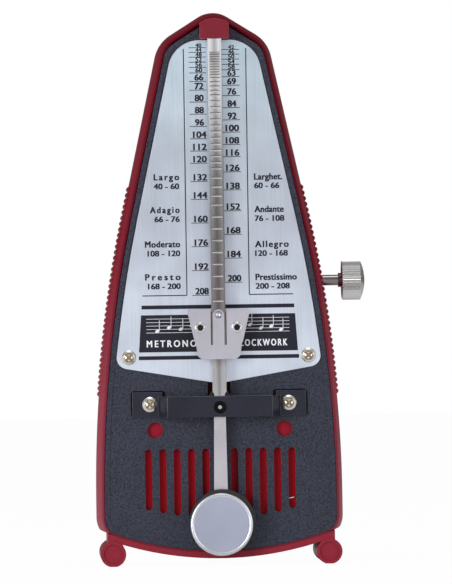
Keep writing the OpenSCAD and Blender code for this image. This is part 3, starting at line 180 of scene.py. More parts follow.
right = case_edge()
loop = right + [(-x, z, -nx, nz) for x, z, nx, nz in right[-2::-1]]
path = skin_path()
nothing_selected()
bpy.ops.mesh.primitive_grid_add(x_subdivisions=len(loop) - 1, y_subdivisions=len(path) - 1, size=1)
case = bpy.context.object
case.name = case.data.name = "case_moulding"
for v in case.data.vertices:
    i, j = round((v.co.x + 0.5) * (len(loop) - 1)), round((v.co.y + 0.5) * (len(path) - 1))
    v.co = case_point(loop[i], *path[j])
edit_all(lambda: bpy.ops.mesh.remove_doubles(threshold=1e-6),
         lambda: bpy.ops.mesh.select_all(action="DESELECT"),
         lambda: bpy.ops.mesh.select_non_manifold(extend=False),
         lambda: bpy.ops.mesh.fill_holes(sides=0),
         lambda: bpy.ops.mesh.select_all(action="SELECT"),
         lambda: bpy.ops.mesh.normals_make_consistent(inside=False))


def round_bar(name, r, place, length, sides, turn=(math.pi / 2, "X")):
    """A round bar about its middle, which lies along Y unless it is turned otherwise."""
    nothing_selected()
    bpy.ops.mesh.primitive_cylinder_add(vertices=sides, radius=r * mm, depth=length * mm)
    bar = bpy.context.object
    bar.name = bar.data.name = name
    bar.data.transform(Matrix.Translation(Vector(place) * mm) @ Matrix.Rotation(turn[0], 4, turn[1]))
    return bar


def carve(piece, tool):
    """Cuts a piece with a tool, which is then thrown away."""
    nothing_selected()
    bpy.context.view_layer.objects.active = piece
    cut = piece.modifiers.new("cut", "BOOLEAN")
    cut.operation, cut.solver, cut.object = "DIFFERENCE", "EXACT", tool
    bpy.ops.object.modifier_apply(modifier=cut.name)
    bpy.data.objects.remove(tool)


# the shell ends above the base, on a circle that runs level with the arch
nothing_selected()
bpy.ops.mesh.primitive_cube_add(size=1)
below = bpy.context.object
for v in below.data.vertices:
    v.co = Vector((v.co.x * 100, v.co.y * 80, v.co.z * 40 + 10)) * mm
base_step = 1.85
carve(below, round_bar("arch", belly_r - base_step, (0, 0, belly_z), 120, sides=240))
carve(case, below)
# the winding shaft's way out through the right side
key_place, key_hole_r = (32.5, -0.6, 82), 2.6
carve(case, round_bar("key_hole", key_hole_r, key_place, 25, sides=48, turn=(math.pi / 2, "Y")))
nothing_selected()
case.select_set(True)
bpy.context.view_layer.objects.active = case
bpy.ops.object.shade_smooth_by_angle(angle=math.radians(42))


def graded(tree, value, low, high, stops):
    """Levels that follow a value between low and high, from (share of the way, level) pairs; a level
    is one number or three."""
    along = tree.nodes.new("ShaderNodeMapRange")
    along.inputs["From Min"].default_value, along.inputs["From Max"].default_value = low, high
    tree.links.new(value, along.inputs["Value"])
    ramp = tree.nodes.new("ShaderNodeValToRGB")
    points = ramp.color_ramp.elements
    stops = [(place, (*level, 1) if isinstance(level, tuple) else (level, level, level, 1))
             for place, level in stops]
    for point, (place, level) in zip((points[0], points[1]), (stops[0], stops[-1])):
        point.position, point.color = place, level
    for place, level in stops[1:-1]:
        points.new(place).color = level
    tree.links.new(along.outputs["Result"], ramp.inputs["Fac"])
    return ramp.outputs["Color"]


def surface(name, colour, gloss, metal=0.0, grain=0.3, depth=0.004, tone=0.08, shine=0.5, even=0.5):
    """A finish whose colour, gloss and height vary from place to place.
    gloss is the range of roughness, tone the range of the colour, grain and depth the size and the
    height of the fine pattern in millimetres (grain is one number, or three for X, Y and Z), shine
    the strength of a plastic's reflection and even the share of the slow pattern."""
    cloud = 14
    finish = bpy.data.materials.new(name)
    finish.use_nodes = True
    nodes, links = finish.node_tree.nodes, finish.node_tree.links
    shader = nodes["Principled BSDF"]
    shader.inputs["Metallic"].default_value = metal
    shader.inputs["Specular IOR Level"].default_value = shine
    where = nodes.new("ShaderNodeTexCoord")
    fine_map = nodes.new("ShaderNodeMapping")
    grain = grain if isinstance(grain, tuple) else (grain, grain, grain)
    fine_map.inputs["Scale"].default_value = [1 / (g * mm) for g in grain]
    links.new(where.outputs["Object"], fine_map.inputs["Vector"])
    fine = nodes.new("ShaderNodeTexNoise")
    fine.inputs["Scale"].default_value = 1
    fine.inputs["Detail"].default_value = 3
    links.new(fine_map.outputs["Vector"], fine.inputs["Vector"])
    slow = nodes.new("ShaderNodeTexNoise")
    slow.inputs["Scale"].default_value = 1 / (cloud * mm)
    slow.inputs["Detail"].default_value = 4
    links.new(where.outputs["Object"], slow.inputs["Vector"])
    blend = nodes.new("ShaderNodeMix")
    blend.inputs["Factor"].default_value = even
    links.new(fine.outputs["Fac"], blend.inputs["A"])
    links.new(slow.outputs["Fac"], blend.inputs["B"])
    rough = nodes.new("ShaderNodeMapRange")
    rough.inputs["From Min"].default_value, rough.inputs["From Max"].default_value = 0.3, 0.7
    rough.inputs["To Min"].default_value, rough.inputs["To Max"].default_value = gloss
    links.new(blend.outputs["Result"], rough.inputs["Value"])
    links.new(rough.outputs["Result"], shader.inputs["Roughness"])
    shades = nodes.new("ShaderNodeValToRGB")
    shades.color_ramp.elements[0].position, shades.color_ramp.elements[1].position = 0.3, 0.7
    shades.color_ramp.elements[0].color = (*[c * (1 - tone) for c in colour], 1)
    shades.color_ramp.elements[1].color = (*[min(1, c * (1 + tone)) for c in colour], 1)
    links.new(blend.outputs["Result"], shades.inputs["Fac"])
    links.new(shades.outputs["Color"], shader.inputs["Base Color"])
    bump = nodes.new("ShaderNodeBump")
    bump.inputs["Strength"].default_value = 0.6
    bump.inputs["Distance"].default_value = depth * mm
    links.new(fine.outputs["Fac"], bump.inputs["Height"])
    links.new(bump.outputs["Normal"], shader.inputs["Normal"])
    return finish


def shaded(finish, axis, low, high, stops):
    """Tints a finish along an axis, between two places in millimetres, to paint light and shade into its
    colour; stops are (share, factor).
    """
    nodes, links = finish.node_tree.nodes, finish.node_tree.links
    shader = nodes["Principled BSDF"]
    plain = shader.inputs["Base Color"].links[0].from_socket
    where = nodes.new("ShaderNodeTexCoord")
    split = nodes.new("ShaderNodeSeparateXYZ")
    links.new(where.outputs["Object"], split.inputs["Vector"])
    product = nodes.new("ShaderNodeMix")
    product.data_type, product.blend_type = "RGBA", "MULTIPLY"
    product.inputs["Factor"].default_value = 1
    links.new(plain, product.inputs[6])
    links.new(graded(finish.node_tree, split.outputs[axis], low * mm, high * mm, stops), product.inputs[7])
    links.new(product.outputs[2], shader.inputs["Base Color"])


moulded_red = surface("moulded_red", (0.25, 0.007, 0.022), (0.32, 0.44), grain=0.9, shine=0.03)
# painted reflection and shade: pinker towards the bottom, where the white table is reflected, and darker
# towards the top
shaded(moulded_red, "Z", 0, 160,
       [(0, (1.45, 7, 3.6)), (0.3, (1.35, 6, 3.2)), (0.55, (0.95, 1.2, 1.1)), (1, 0.74)])
# painted shade: the front face of the lip is darker, to even it with the sides, which catch less light
shaded(moulded_red, "Y", -15, -12, [(0, 0.6), (0.25, 0.7), (0.6, 1), (1, 1)])
case.data.materials.append(moulded_red)
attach(case, "case")
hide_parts("case_shell")

# ---- Base ----
# Bottom moulding of the same red plastic. It carries the lip under the plate and two round runners,
# and two screws hold it from below.


def dressed(node, name, finish, edge=0.1, edge_finish=None, steps=2, angle=32):
    """The solid of a node with its sharp edges broken, in place of the plain one; its new edges may
    have a finish of their own, which on some pieces is a painted highlight."""
    plain = frame["nodes"][node]
    piece = bpy.data.objects.new(name, plain.data.copy())
    piece.data.name = name
    bpy.context.scene.collection.objects.link(piece)
    nothing_selected()
    piece.select_set(True)
    bpy.context.view_layer.objects.active = piece
    edit_all(lambda: bpy.ops.mesh.remove_doubles(threshold=2e-6),
             lambda: bpy.ops.mesh.dissolve_limited(angle_limit=math.radians(0.6)))
    piece.data.materials.clear()
    piece.data.materials.append(finish)
    if edge_finish:
        piece.data.materials.append(edge_finish)
    if edge:
        bevel = piece.modifiers.new("edge", "BEVEL")
        bevel.width, bevel.segments = edge * mm, steps
        bevel.limit_method, bevel.angle_limit = "ANGLE", math.radians(angle)
        bevel.use_clamp_overlap = True
        bevel.miter_outer = "MITER_ARC"
        bevel.material = 1 if edge_finish else -1
        bpy.ops.object.modifier_apply(modifier=bevel.name)
    bpy.ops.object.shade_smooth_by_angle(angle=math.radians(angle + 8))
    weigh = piece.modifiers.new("weigh", "WEIGHTED_NORMAL")
    weigh.keep_sharp = True
    bpy.ops.object.modifier_apply(modifier=weigh.name)
    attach(piece, plain["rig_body"])
    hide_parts(node)
    return piece


# the broken edges of the base and the catch are a lighter red, a painted highlight
red_edge_highlight = surface("red_edge", (0.36, 0.022, 0.04), (0.24, 0.36), grain=0.9, shine=0.4)
base_red = surface("base_red", (0.27, 0.016, 0.034), (0.28, 0.4), grain=0.9, shine=0.2)
dressed("base_tray", "base_moulding", base_red, edge=0.25, edge_finish=red_edge_highlight)

# ---- Inner wall ----
# Flat web of the same red plastic behind the front plate, which shows through the plate's slots and
# holes and carries the movement's two bars.
# painted light and shade: the web's red is brighter than the case's, as light in the slots, and darker
# above the holes, as shade in the opening round the pivot
red_web_lit_and_shaded = surface("red_web_lit_and_shaded", (0.36, 0.001, 0.009), (0.4, 0.5), grain=0.9, depth=0.003, shine=0.1)
shaded(red_web_lit_and_shaded, "Z", 36, 56, [(0, 1), (0.3, 1), (0.6, 0.09), (1, 0.09)])
dressed("inner_panel", "inner_web", red_web_lit_and_shaded, edge=0)
plug_red = surface("seat_red", (0.36, 0.004, 0.022), (0.35, 0.45), grain=0.9, depth=0.003, shine=0.2)
# a thin red plug stands behind each round hole, in a red brighter than the case's, painted light in the
# hole
hole_x, hole_z, plug_r, plug_y, plug_t = 18.7, 39.3, 2.38, -12.3, 0.7
for name, x in (("left", -hole_x), ("right", hole_x)):
    plug = round_bar("hole_plug_" + name, plug_r, (x, plug_y, hole_z), plug_t, sides=48)
    plug.data.materials.append(plug_red)
    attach(plug, "case")

# ---- Screws ----
# Turned from nickel-plated brass, with a domed head and a cross recess; the plate's two screws sit in
# the case, the bridge's two in the movement's lower bar.
screw_nickel = surface("screw_nickel", (0.82, 0.79, 0.72), (0.18, 0.3), metal=1, grain=0.05, depth=0.002)
dulled_nickel = surface("dulled_recess", (0.3, 0.24, 0.17), (0.4, 0.6), metal=0.9, grain=0.1)
head_t, face_t, recess_share, head_growth = 1.2 * mm, 0.16 * mm, 0.68, 1.09
for node in ("scale_screws", "bridge_screws", "bar_screws", "base_screws"):
    screws = dressed(node, node + "_plated", screw_nickel, edge=0.07)
    if node in ("scale_screws", "bridge_screws"):
        # the walls and the floor of the cross recess are dull; the heads are full and round
        low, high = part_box(node)
        screws.data.materials.append(dulled_nickel)
        head_r = (high[2] - low[2]) / 2
        head_x, head_z = high[0] - head_r, (high[2] + low[2]) / 2
        for face in screws.data.polygons:
            x, y, z = face.center
            away = math.hypot(abs(x) - head_x, z - head_z)
            if low[1] + face_t < y < low[1] + head_t and away < recess_share * head_r:
                face.material_index = 1
        for v in screws.data.vertices:
            if v.co.y < low[1] + head_t:
                middle = math.copysign(head_x, v.co.x)
                v.co.x = middle + (v.co.x - middle) * head_growth
                v.co.z = head_z + (v.co.z - head_z) * head_growth

# ---- Front plate ----
# Black ABS with a fine pebble grain and a raised border; eleven sound slots and two round holes show
# the red wall behind. It drops in front of the case's shelf.
pebble = surface("pebble_grain", (0.019, 0.022, 0.042), (0.34, 0.5), grain=0.55, depth=0.2, tone=0.98,
                 shine=0.4, even=0.1)
pebble_edge = surface("pebble_edge", (0.06, 0.066, 0.1), (0.3, 0.4), depth=0.01)
dressed("front_plate", "front_panel", pebble, edge=0.12, edge_finish=pebble_edge)

# a loose end of wire lies across the last slot
wire_steel = surface("wire_steel", (0.93, 0.92, 0.9), (0.3, 0.4), grain=0.1)
wire = round_bar("slot_wire", 0.13, (20.1, -13.3, 19.1), 2.3, sides=12, turn=(math.radians(80), "Y"))
wire.data.materials.append(wire_steel)
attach(wire, "case")

# ---- Scale plate ----
# Stamped aluminium sheet, brushed from top to bottom and screen printed in black.
brushed = surface("brushed_aluminium", (0.66, 0.71, 0.82), (0.3, 0.42), metal=0.85,
                  grain=(0.16, 0.16, 30), depth=0.006, tone=0.14)
# painted reflection: the sheet is lighter towards the bottom, darker in the middle and bluer at the top
shaded(brushed, "Z", 50, 150,
       [(0, 1.12), (0.22, 1.03), (0.5, 0.86), (0.75, (0.86, 0.9, 0.89)), (1, (0.93, 1.03, 1.02))])
cut_edge = surface("cut_aluminium", (0.6, 0.63, 0.7), (0.5, 0.6), metal=0.7)
sheet = dressed("scale_plate", "scale_sheet", brushed, edge=0.08, edge_finish=cut_edge)
edge_climb, edge_half, edge_top, edge_fade = 0.95 * mm, 27 * mm, 66 * mm, 6 * mm
for v in sheet.data.vertices:
    # the lower edge climbs a little more towards its ends
    if v.co.z < edge_top:
        v.co.z += edge_climb * min(1, abs(v.co.x) / edge_half) * min(1, (edge_top - v.co.z) / edge_fade)

scale_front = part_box("scale_plate")[0][1] / mm
ink_t = 0.02
pivot_z = 45.8
black_ink = surface("black_ink", (0.012, 0.012, 0.024), (0.4, 0.55), grain=0.1, shine=0.25)


def flat_shape(corners):
    """A thin printed patch with these corners, as x and z."""
    nothing_selected()
    bpy.ops.mesh.primitive_cube_add(size=1)
    patch = bpy.context.object
    for v in patch.data.vertices:
        x, z = corners[{(False, False): 0, (True, False): 1, (True, True): 2, (False, True): 3}[
            (v.co.x > 0, v.co.z > 0)]]
        v.co = Vector((x, scale_front - ink_t * (0.5 - v.co.y), z)) * mm
    return patch


def line(x0, x1, z0, z1):
    return flat_shape([(x0, z0), (x1, z0), (x1, z1), (x0, z1)])


def lettering(words, x, z, height, width=0, stretch=0.8, align="CENTER", weight=0.065, gap=1.0):
    """Printed characters whose lower left, middle or right stands at x and z; weight is the share
    of the height by which their strokes are thickened to each side."""
    nothing_selected()
    bpy.ops.object.text_add()
    text = bpy.context.object
    text.data.body, text.data.align_x = words, align
    capital_share = 0.69
    text.data.size = height / capital_share * mm
    text.data.space_character = gap
    text.data.resolution_u = 3
    text.data.extrude = ink_t / 2 * mm
    bpy.ops.object.convert(target="MESH")
    text = bpy.context.object
    xs = [v.co.x for v in text.data.vertices]
    if width:
        stretch = width * mm / (max(xs) - min(xs))
    anchor = {"LEFT": min(xs), "RIGHT": max(xs), "CENTER": (min(xs) + max(xs)) / 2}[align]
    for v in text.data.vertices:
        v.co = Vector(((v.co.x - anchor) * stretch + x * mm, (scale_front - ink_t / 2) * mm - v.co.z,
                       v.co.y + z * mm))
    # four copies, set a little apart and each a little higher than the last, make the strokes bold
    bold = []
    for across, up in ((-1, -0.45), (1, -0.45), (-1, 0.45), (1, 0.45)):
        copy = bpy.data.objects.new(words, text.data.copy())
        bpy.context.scene.collection.objects.link(copy)
        bold.append(copy)
        step = Vector((across * weight * height, -0.1 * len(bold) * ink_t, up * weight * height))
        copy.data.transform(Matrix.Translation(step * mm))
    bpy.data.objects.remove(text)
    nothing_selected()
    for copy in bold:
        copy.select_set(True)
    bpy.context.view_layer.objects.active = bold[0]
    bpy.ops.object.join()
    return bpy.context.object


def tempo_height(beats):
    """Height of the mark for a tempo: a pendulum whose upper weight slides keeps to this law."""
    # w is (bob_pull - weight_pull * reach) / (bob_inertia + reach ** 2), solved for the reach
    bob_pull, weight_pull, bob_inertia, mark_over_weight = 36690, 350.2, 5675, 6.18
    w = (beats / 100) ** 2
    root = math.sqrt(weight_pull ** 2 + 4 * w * (bob_pull - bob_inertia * w))
    return pivot_z + mark_over_weight + (root - weight_pull) / (2 * w)


def one_print(name, parts, ink):
    """Joins printed patches into one piece on the case."""
    nothing_selected()
    for part in parts:
        part.select_set(True)
    bpy.context.view_layer.objects.active = parts[0]
    bpy.ops.object.join()
    whole = bpy.context.object
    whole.name = whole.data.name = name
    whole.data.materials.clear()
    whole.data.materials.append(ink)
    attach(whole, "case")
    return whole


left_tempos = [40, 44, 48, 52, 56, 60, 66, 72, 80, 88, 96, 104, 112, 120, 132, 144, 160, 176, 192, 208]
right_tempos = [42, 46, 50, 54, 58, 63, 69, 76, 84, 92, 100, 108, 116, 126, 138, 152, 168, 184, 200]
full_digit_h, digit_pitch = 1.8, 1.31
marks = [line(-7.35, -2.4, tempo_height(t) - 0.1, tempo_height(t) + 0.1) for t in left_tempos]
marks += [line(1.9, 7.25, tempo_height(t) - 0.1, tempo_height(t) + 0.1) for t in right_tempos]
marks += [line(2, 2.2, tempo_height(200), tempo_height(42))]
for tempos, x in ((left_tempos, -4.5), (right_tempos, 4.95)):
    for k, t in enumerate(tempos):
        # the digits get smaller where the marks crowd together
        next_mark = tempo_height(tempos[k - 1 if k else 1])
        digit_h = min(full_digit_h, 0.8 * abs(next_mark - tempo_height(t)))
        digits_w = (digit_pitch * len(str(t)) - 0.2) * (digit_h / full_digit_h) ** 0.7
        marks += [lettering(str(t), x, tempo_height(t) + 0.16 * digit_h, digit_h, width=digits_w)]
for inner, outer in ((-8.9, -21.8), (9.15, 21.8)):
    marks += [line(inner - 0.15, inner + 0.15, 78.2, 149.5)]
    marks += [line(min(inner, outer), max(inner, outer), 78.05, 78.35)]
# word, its height, width and letter spacing, then the range of tempos and its height
names = [
    ("Largo", 111.6, 7.2, 1.4, "40 - 60", 109), ("Adagio", 102.1, 8.4, 1.4, "66 - 76", 99.5),
    ("Moderato", 92.2, 10, 1.1, "108 - 120", 89.6), ("Presto", 82.7, 10.1, 1.5, "168 - 200", 80.1),
    ("Larghet.", 111.4, 8, 1.05, "60 - 66", 108.9), ("Andante", 102, 8.3, 1.05, "76 - 108", 99.4),
    ("Allegro", 91.85, 9.6, 1.25, "120 - 168", 89.3), ("Prestissimo", 82.35, 11.8, 1.05, "200 - 208", 79.8),
]
for k, (name, z_name, name_w, gap, beats, z_beats) in enumerate(names):
    x, align = (-10.75, "RIGHT") if k < 4 else (11.1, "LEFT")
    marks += [lettering(name, x, z_name, 1.77, width=name_w, align=align, gap=gap),
              lettering(beats, x, z_beats, 1.6, stretch=1.1, align=align)]
marks += [line(-22.1, 22.1, 74.3, 75.4), line(-23.1, 23.3, 59.65, 60.75),
          flat_shape([(-23, 61.85), (23, 61.85), (22.3, 72.6), (-22.3, 72.6)])]
one_print("scale_print", marks, black_ink)

# the dark label carries a stave with a few notes and two plain words
ink_t = 0.035
white_ink = surface("white_ink", (0.84, 0.85, 0.9), (0.4, 0.55), grain=0.1, shine=0.3)
label = [line(-20.8, 20.6, 67.4 + i, 67.52 + i) for i in range(5)]
label += [lettering(word, x, 63.35, 1.9, width=word_w, align=align, weight=0.04, gap=gap)
          for word, x, word_w, align, gap in (("METRONOME", -20.7, 18.4, "LEFT", 1.45),
                                              ("CLOCKWORK", 19.9, 15.2, "RIGHT", 1.4))]
stave_z, note_w, note_h, note_slant = 67.46, 1.25, 0.9, 0.3
for x, step in ((-17.6, 1), (-14.2, 3), (-10.8, 2), (-7.6, 4), (9.2, 4), (12.4, 2), (15.4, 3), (18.2, 1)):
    nothing_selected()
    bpy.ops.mesh.primitive_cylinder_add(vertices=20, radius=0.5, depth=ink_t)
    head = bpy.context.object
    for v in head.data.vertices:
        u, w = v.co.x * note_w, v.co.y * note_h + v.co.x * note_slant
        v.co = Vector((x + u, scale_front - ink_t / 2 + v.co.z, stave_z + step / 2 + w)) * mm
    label += [head, line(x + 0.5, x + 0.66, 67.5 + step / 2, 70.6 + step / 2)]
one_print("label_print", label, white_ink)

# ---- Catch ----
# Red moulding pegged into the plate, whose slot holds the tip of the rod when the pendulum is parked.
catch_red = surface("catch_red", (0.19, 0.014, 0.028), (0.28, 0.4), grain=0.9, shine=0.2)
catch = dressed("pendulum_catch", "catch_moulding", catch_red,
                edge=0.3, edge_finish=red_edge_highlight, steps=3)
roof_z, roof_drop, slot_side, side_cut = 155 * mm, 0.4 * mm, 3.2 * mm, 0.6 * mm
for v in catch.data.vertices:
    # a little lower at the top and narrower at the sides than the solid; the slot stays
    if v.co.z > roof_z:
        v.co.z -= roof_drop * min(1, (v.co.z - roof_z) / (2 * mm))
    if abs(v.co.x) > slot_side:
        v.co.x -= math.copysign(side_cut * min(1, (abs(v.co.x) - slot_side) / (3 * mm)), v.co.x)

# ---- Bridge ----
# Steel strip bent into a hat section and coated satin black, with the pendulum's front bearing.
satin_black = surface("satin_black", (0.011, 0.012, 0.026), (0.3, 0.44), depth=0.03, tone=0.6, shine=0.35)
# the strip's broken edges are lighter, a painted highlight
edge_highlight_black = surface("edge_highlight_black", (0.16, 0.16, 0.18), (0.25, 0.4), metal=0.4)
dressed("pendulum_bridge", "bridge_strip", satin_black, edge=0.14, edge_finish=edge_highlight_black)
# a dark patch with round corners round each foot of the strip is painted shadow in the shallow pocket it
# stands in
pad_shadow_black = surface("pad_shadow_black", (0.003, 0.003, 0.005), (0.6, 0.7), shine=0.1)
low, high = [[c / mm for c in corner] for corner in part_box("pendulum_bridge")]
shadow_depth, corner_r, shadow_w = 0.43, 1, 10
far, bottom, top = high[0] + 0.45, low[2] - 0.1, high[2] + 0.4
for name, s in (("left", -1), ("right", 1)):
    shadow_patch = round_bar("strip_shadow_" + name, corner_r, (0, 0, 0), 0.08, sides=36)
    for v in shadow_patch.data.vertices:
        x, y, z = v.co / mm
        x += math.copysign(shadow_w / 2 - corner_r, x) + s * (far - shadow_w / 2)
        z += math.copysign((top - bottom) / 2 - corner_r, z) + (top + bottom) / 2
        v.co = Vector((x, high[1] - shadow_depth + y, z)) * mm
    shadow_patch.data.materials.append(pad_shadow_black)
    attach(shadow_patch, "case")
bearing_black = surface("bearing_black", (0.003, 0.003, 0.004), (0.4, 0.5), grain=0.15, shine=0.08)
dressed("front_bearing", "bearing_bush", bearing_black, edge=0.08)

# ---- Pendulum ----
# Rod rolled from spring steel into a channel with a notch for each tempo, its hub, the flat lower arm
# and the bob under a pressed chrome cap.
rod_steel = surface("drawn_steel", (0.82, 0.82, 0.85), (0.08, 0.11), metal=1, grain=(0.2, 0.2, 9),
                    depth=0, tone=0.03)
# painted reflection: the middle of the channel is darker, and the rod is lighter at the bottom and top and
# brownish-dark between
shaded(rod_steel, "X", -2, 2,
       [(0, 1), (0.22, 1), (0.32, 0.8), (0.5, 0.55), (0.68, 0.8), (0.78, 1), (1, 0.85)])
shaded(rod_steel, "Z", 40, 160,
       [(0, 1.4), (0.14, 1.4), (0.17, (0.74, 0.64, 0.62)), (0.35, (0.6, 0.55, 0.54)), (0.6, 0.57),
        (0.8, 1.15), (1, 1.2)])
soft_edge = surface("soft_edge", (0.62, 0.61, 0.62), (0.45, 0.55), metal=0.8)
painted_glint_steel = surface("painted_glint_steel", (0.95, 0.94, 0.93), (0.3, 0.4), metal=1)
notch_shade = surface("notch_shade", (0.22, 0.21, 0.21), (0.3, 0.4), metal=1)
arm_steel = surface("arm_steel", (0.63, 0.61, 0.66), (0.24, 0.36), metal=1, grain=(0.05, 0.05, 3),
                    depth=0.003)
hub_steel = surface("hub_steel", (0.05, 0.048, 0.05), (0.24, 0.36), metal=1, grain=0.05, depth=0.003)
bright = surface("bright_steel", (0.85, 0.85, 0.87), (0.12, 0.2), metal=1)
chrome = surface("chrome", (0.76, 0.77, 0.8), (0.32, 0.4), metal=1, grain=0.4, depth=0.001)
satin_face = surface("satin_chrome", (0.46, 0.49, 0.62), (0.28, 0.4), metal=0.9, grain=0.07,
                     depth=0.003, tone=0.12)
rod = dressed("pendulum_rod", "rod_channel", rod_steel, edge=0.06, edge_finish=soft_edge)
# the lower flank of every notch is painted bright and the upper one dark: a painted highlight and a painted
# shade
rod.data.materials.append(painted_glint_steel)
rod.data.materials.append(notch_shade)
web_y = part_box("pendulum_rod")[0][1] + 0.1 * mm
notch_low, notch_high = 55 * mm, 154 * mm
for face in rod.data.polygons:
    if abs(face.normal.z) > 0.2 and face.center.y > web_y and notch_low < face.center.z < notch_high:
        face.material_index = 2 if face.normal.z > 0 else 3
# the hub's near-black steel is a painted dark reflection, and its lighter broken edges a painted highlight
dressed("pendulum_hub", "hub_plate", hub_steel, edge=0.24, edge_finish=painted_glint_steel)
dressed("hub_rivets", "hub_rivet_heads", arm_steel, edge=0.08)
dressed("lower_arm", "arm_strip", arm_steel, edge=0.08, edge_finish=soft_edge)
bob = dressed("bob_cover", "bob_cap", chrome, edge=0)
bob.data.materials.append(satin_face)
low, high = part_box("bob_cover")
for face in bob.data.polygons:
    if abs(face.normal.y) > 0.99 and face.center.y < low[1] + 0.3 * mm:
        face.material_index = 1
# the cap stands a little prouder and higher than the solid
bob_x, bob_z, bob_r = (low[0] + high[0]) / 2, (low[2] + high[2]) / 2, (high[0] - low[0]) / 2
cap_growth, cap_lift = 1.025, 0.25 * mm
for v in bob.data.vertices:
    v.co.x, v.co.z = bob_x + (v.co.x - bob_x) * cap_growth, bob_z + (v.co.z - bob_z) * cap_growth + cap_lift
# a dark disc behind the cap, wider than its rolled rim and set higher and to the right, stands for the
# cap's dark back and paints the shadow round the top of the bob
bob_shadow_dark = surface("bob_shadow_dark", (0.02, 0.02, 0.024), (0.35, 0.5), metal=0.3, grain=0.1)
middle = (bob_x, (low[1] + high[1]) / 2, bob_z)
back_shift, back_over, back_inset = (0.3, 0.6, 0.8), 0.5, 0.8
back = round_bar("bob_back", bob_r * cap_growth / mm + back_over,
                 [place / mm + shift for place, shift in zip(middle, back_shift)],
                 (high[1] - low[1]) / mm - 2 * back_inset, sides=96)
back.data.materials.append(bob_shadow_dark)
bpy.ops.object.shade_smooth_by_angle(angle=math.radians(40))
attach(back, "pendulum")
dressed("bob_core", "bob_body", arm_steel, edge=0.1)
dressed("bob_rivet", "bob_rivet_head", arm_steel, edge=0.1)

# ---- Tempo weight ----
# Steel plate with a sprung tongue, staked by two rivets to the block that slides on the rod.
sheet_steel = surface("sheet_steel", (0.6, 0.59, 0.66), (0.26, 0.4), metal=1, grain=(0.06, 0.06, 2.5),
                      depth=0.003)
dark_cast = surface("dark_cast", (0.09, 0.09, 0.1), (0.4, 0.55), metal=0.8, grain=0.2, depth=0.01)
dressed("weight_plate", "weight_front", sheet_steel, edge=0.08, edge_finish=soft_edge)
dressed("weight_block", "weight_body", dark_cast, edge=0.1)
rivets = dressed("weight_rivets", "weight_rivet_heads", bright, edge=0.08)
rivets.data.materials.append(dark_cast)
low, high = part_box("weight_rivets")
rivet_r, rivet_z, drilled_share = (high[2] - low[2]) / 2, (high[2] + low[2]) / 2, 0.56
for face in rivets.data.polygons:
    # the drilled end of each rivet is dark
    x, y, z = face.center
    away = math.hypot(abs(x) - (high[0] - rivet_r), z - rivet_z)
    if away < drilled_share * rivet_r and y > low[1] + 0.1 * mm:
        face.material_index = 1

# ---- Winding knob ----
# Turned and knurled brass, nickel plated, on the polished end of the winding shaft.
knob_nickel = surface("knob_nickel", (0.67, 0.65, 0.65), (0.18, 0.28), metal=1, grain=(2, 0.08, 0.08),
                      depth=0.003)
shaft_steel = surface("shaft_steel", (0.27, 0.25, 0.25), (0.14, 0.22), metal=1, grain=(2, 0.08, 0.08),
                      depth=0.002)
knob = dressed("winding_knob", "knob_knurled", knob_nickel,
               edge=0.08, edge_finish=soft_edge, angle=40)
knob_shift, collar_l, collar_r = 0.45 * mm, 1.2 * mm, 2.4 * mm
for v in knob.data.vertices:
    v.co.x += knob_shift
# its collar is painted dark red, a painted reflection of the red case
knob.data.materials.append(surface("collar_painted_reflection", (0.12, 0.012, 0.022), (0.25, 0.35), grain=0.4))
low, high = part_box("winding_knob")
axis_y, axis_z = (low[1] + high[1]) / 2, (low[2] + high[2]) / 2
for face in knob.data.polygons:
    x, y, z = face.center
    if x < low[0] + knob_shift + collar_l and math.hypot(y - axis_y, z - axis_z) < collar_r:
        face.material_index = 2
dressed("winding_arbor", "key_shaft", shaft_steel, edge=0.06)
dressed("key_bush", "bush_ring", knob_nickel, edge=0.1)

# ---- Movement ----
# Brass plates and wheels, steel arbors, bars and spring; nothing of it shows through the closed case.
brass = surface("movement_brass", (0.62, 0.42, 0.14), (0.24, 0.38), metal=1, grain=(0.1, 0.1, 2),
                depth=0.003)
frame_steel = surface("frame_steel", (0.5, 0.5, 0.52), (0.3, 0.45), metal=1, grain=(0.08, 2, 0.08),
                      depth=0.003)
spring_blue = surface("spring_steel", (0.2, 0.24, 0.36), (0.2, 0.3), metal=1)
inside = {"mainspring": spring_blue, "click_spring": spring_blue}
for node in ("lower_bar", "upper_bar", "pillars", "pillar_screws", "pendulum_staff", "pallets",
             "second_arbor", "third_arbor", "escape_arbor", "ratchet_wheel", "click", "click_screw"):
    inside[node] = frame_steel
for node, solid in frame["nodes"].items():
    if not solid.hide_render and not solid.get("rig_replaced") and solid.material_slots:
        solid.material_slots[0].material = inside.get(node, brass)

# ---- Camera, light and floor ----
nothing_selected()
aim, distance, seen_h = Vector((2.41, -15, 79)) * mm, 2.5, 168.95 * mm
yaw, roll = math.radians(1.6), math.radians(0.87)
forward = Vector((math.sin(yaw), math.cos(yaw), 0))
across = Vector((math.cos(yaw), -math.sin(yaw), 0))
up = Vector((0, 0, 1)) * math.cos(roll) + across * math.sin(roll)
side = forward.cross(up)
bpy.ops.object.camera_add()
camera = bpy.context.object
turn = Matrix((side, up, -forward)).transposed().to_4x4()
camera.matrix_world = Matrix.Translation(aim - forward * distance) @ turn
camera.data.sensor_fit = "VERTICAL"
camera.data.sensor_height = 36
camera.data.lens = camera.data.sensor_height * distance / seen_h
camera.data.clip_end = 50
bpy.context.scene.camera = camera


def lamp(name, place, size, power):
    nothing_selected()
    bpy.ops.object.light_add(type="AREA")
    light = bpy.context.object
    light.name = name
    light.data.size, light.data.energy = size, power
    light.location = place
    light.rotation_euler = (Vector((0, 0, 0.08)) - Vector(place)).to_track_quat("-Z", "Y").to_euler()


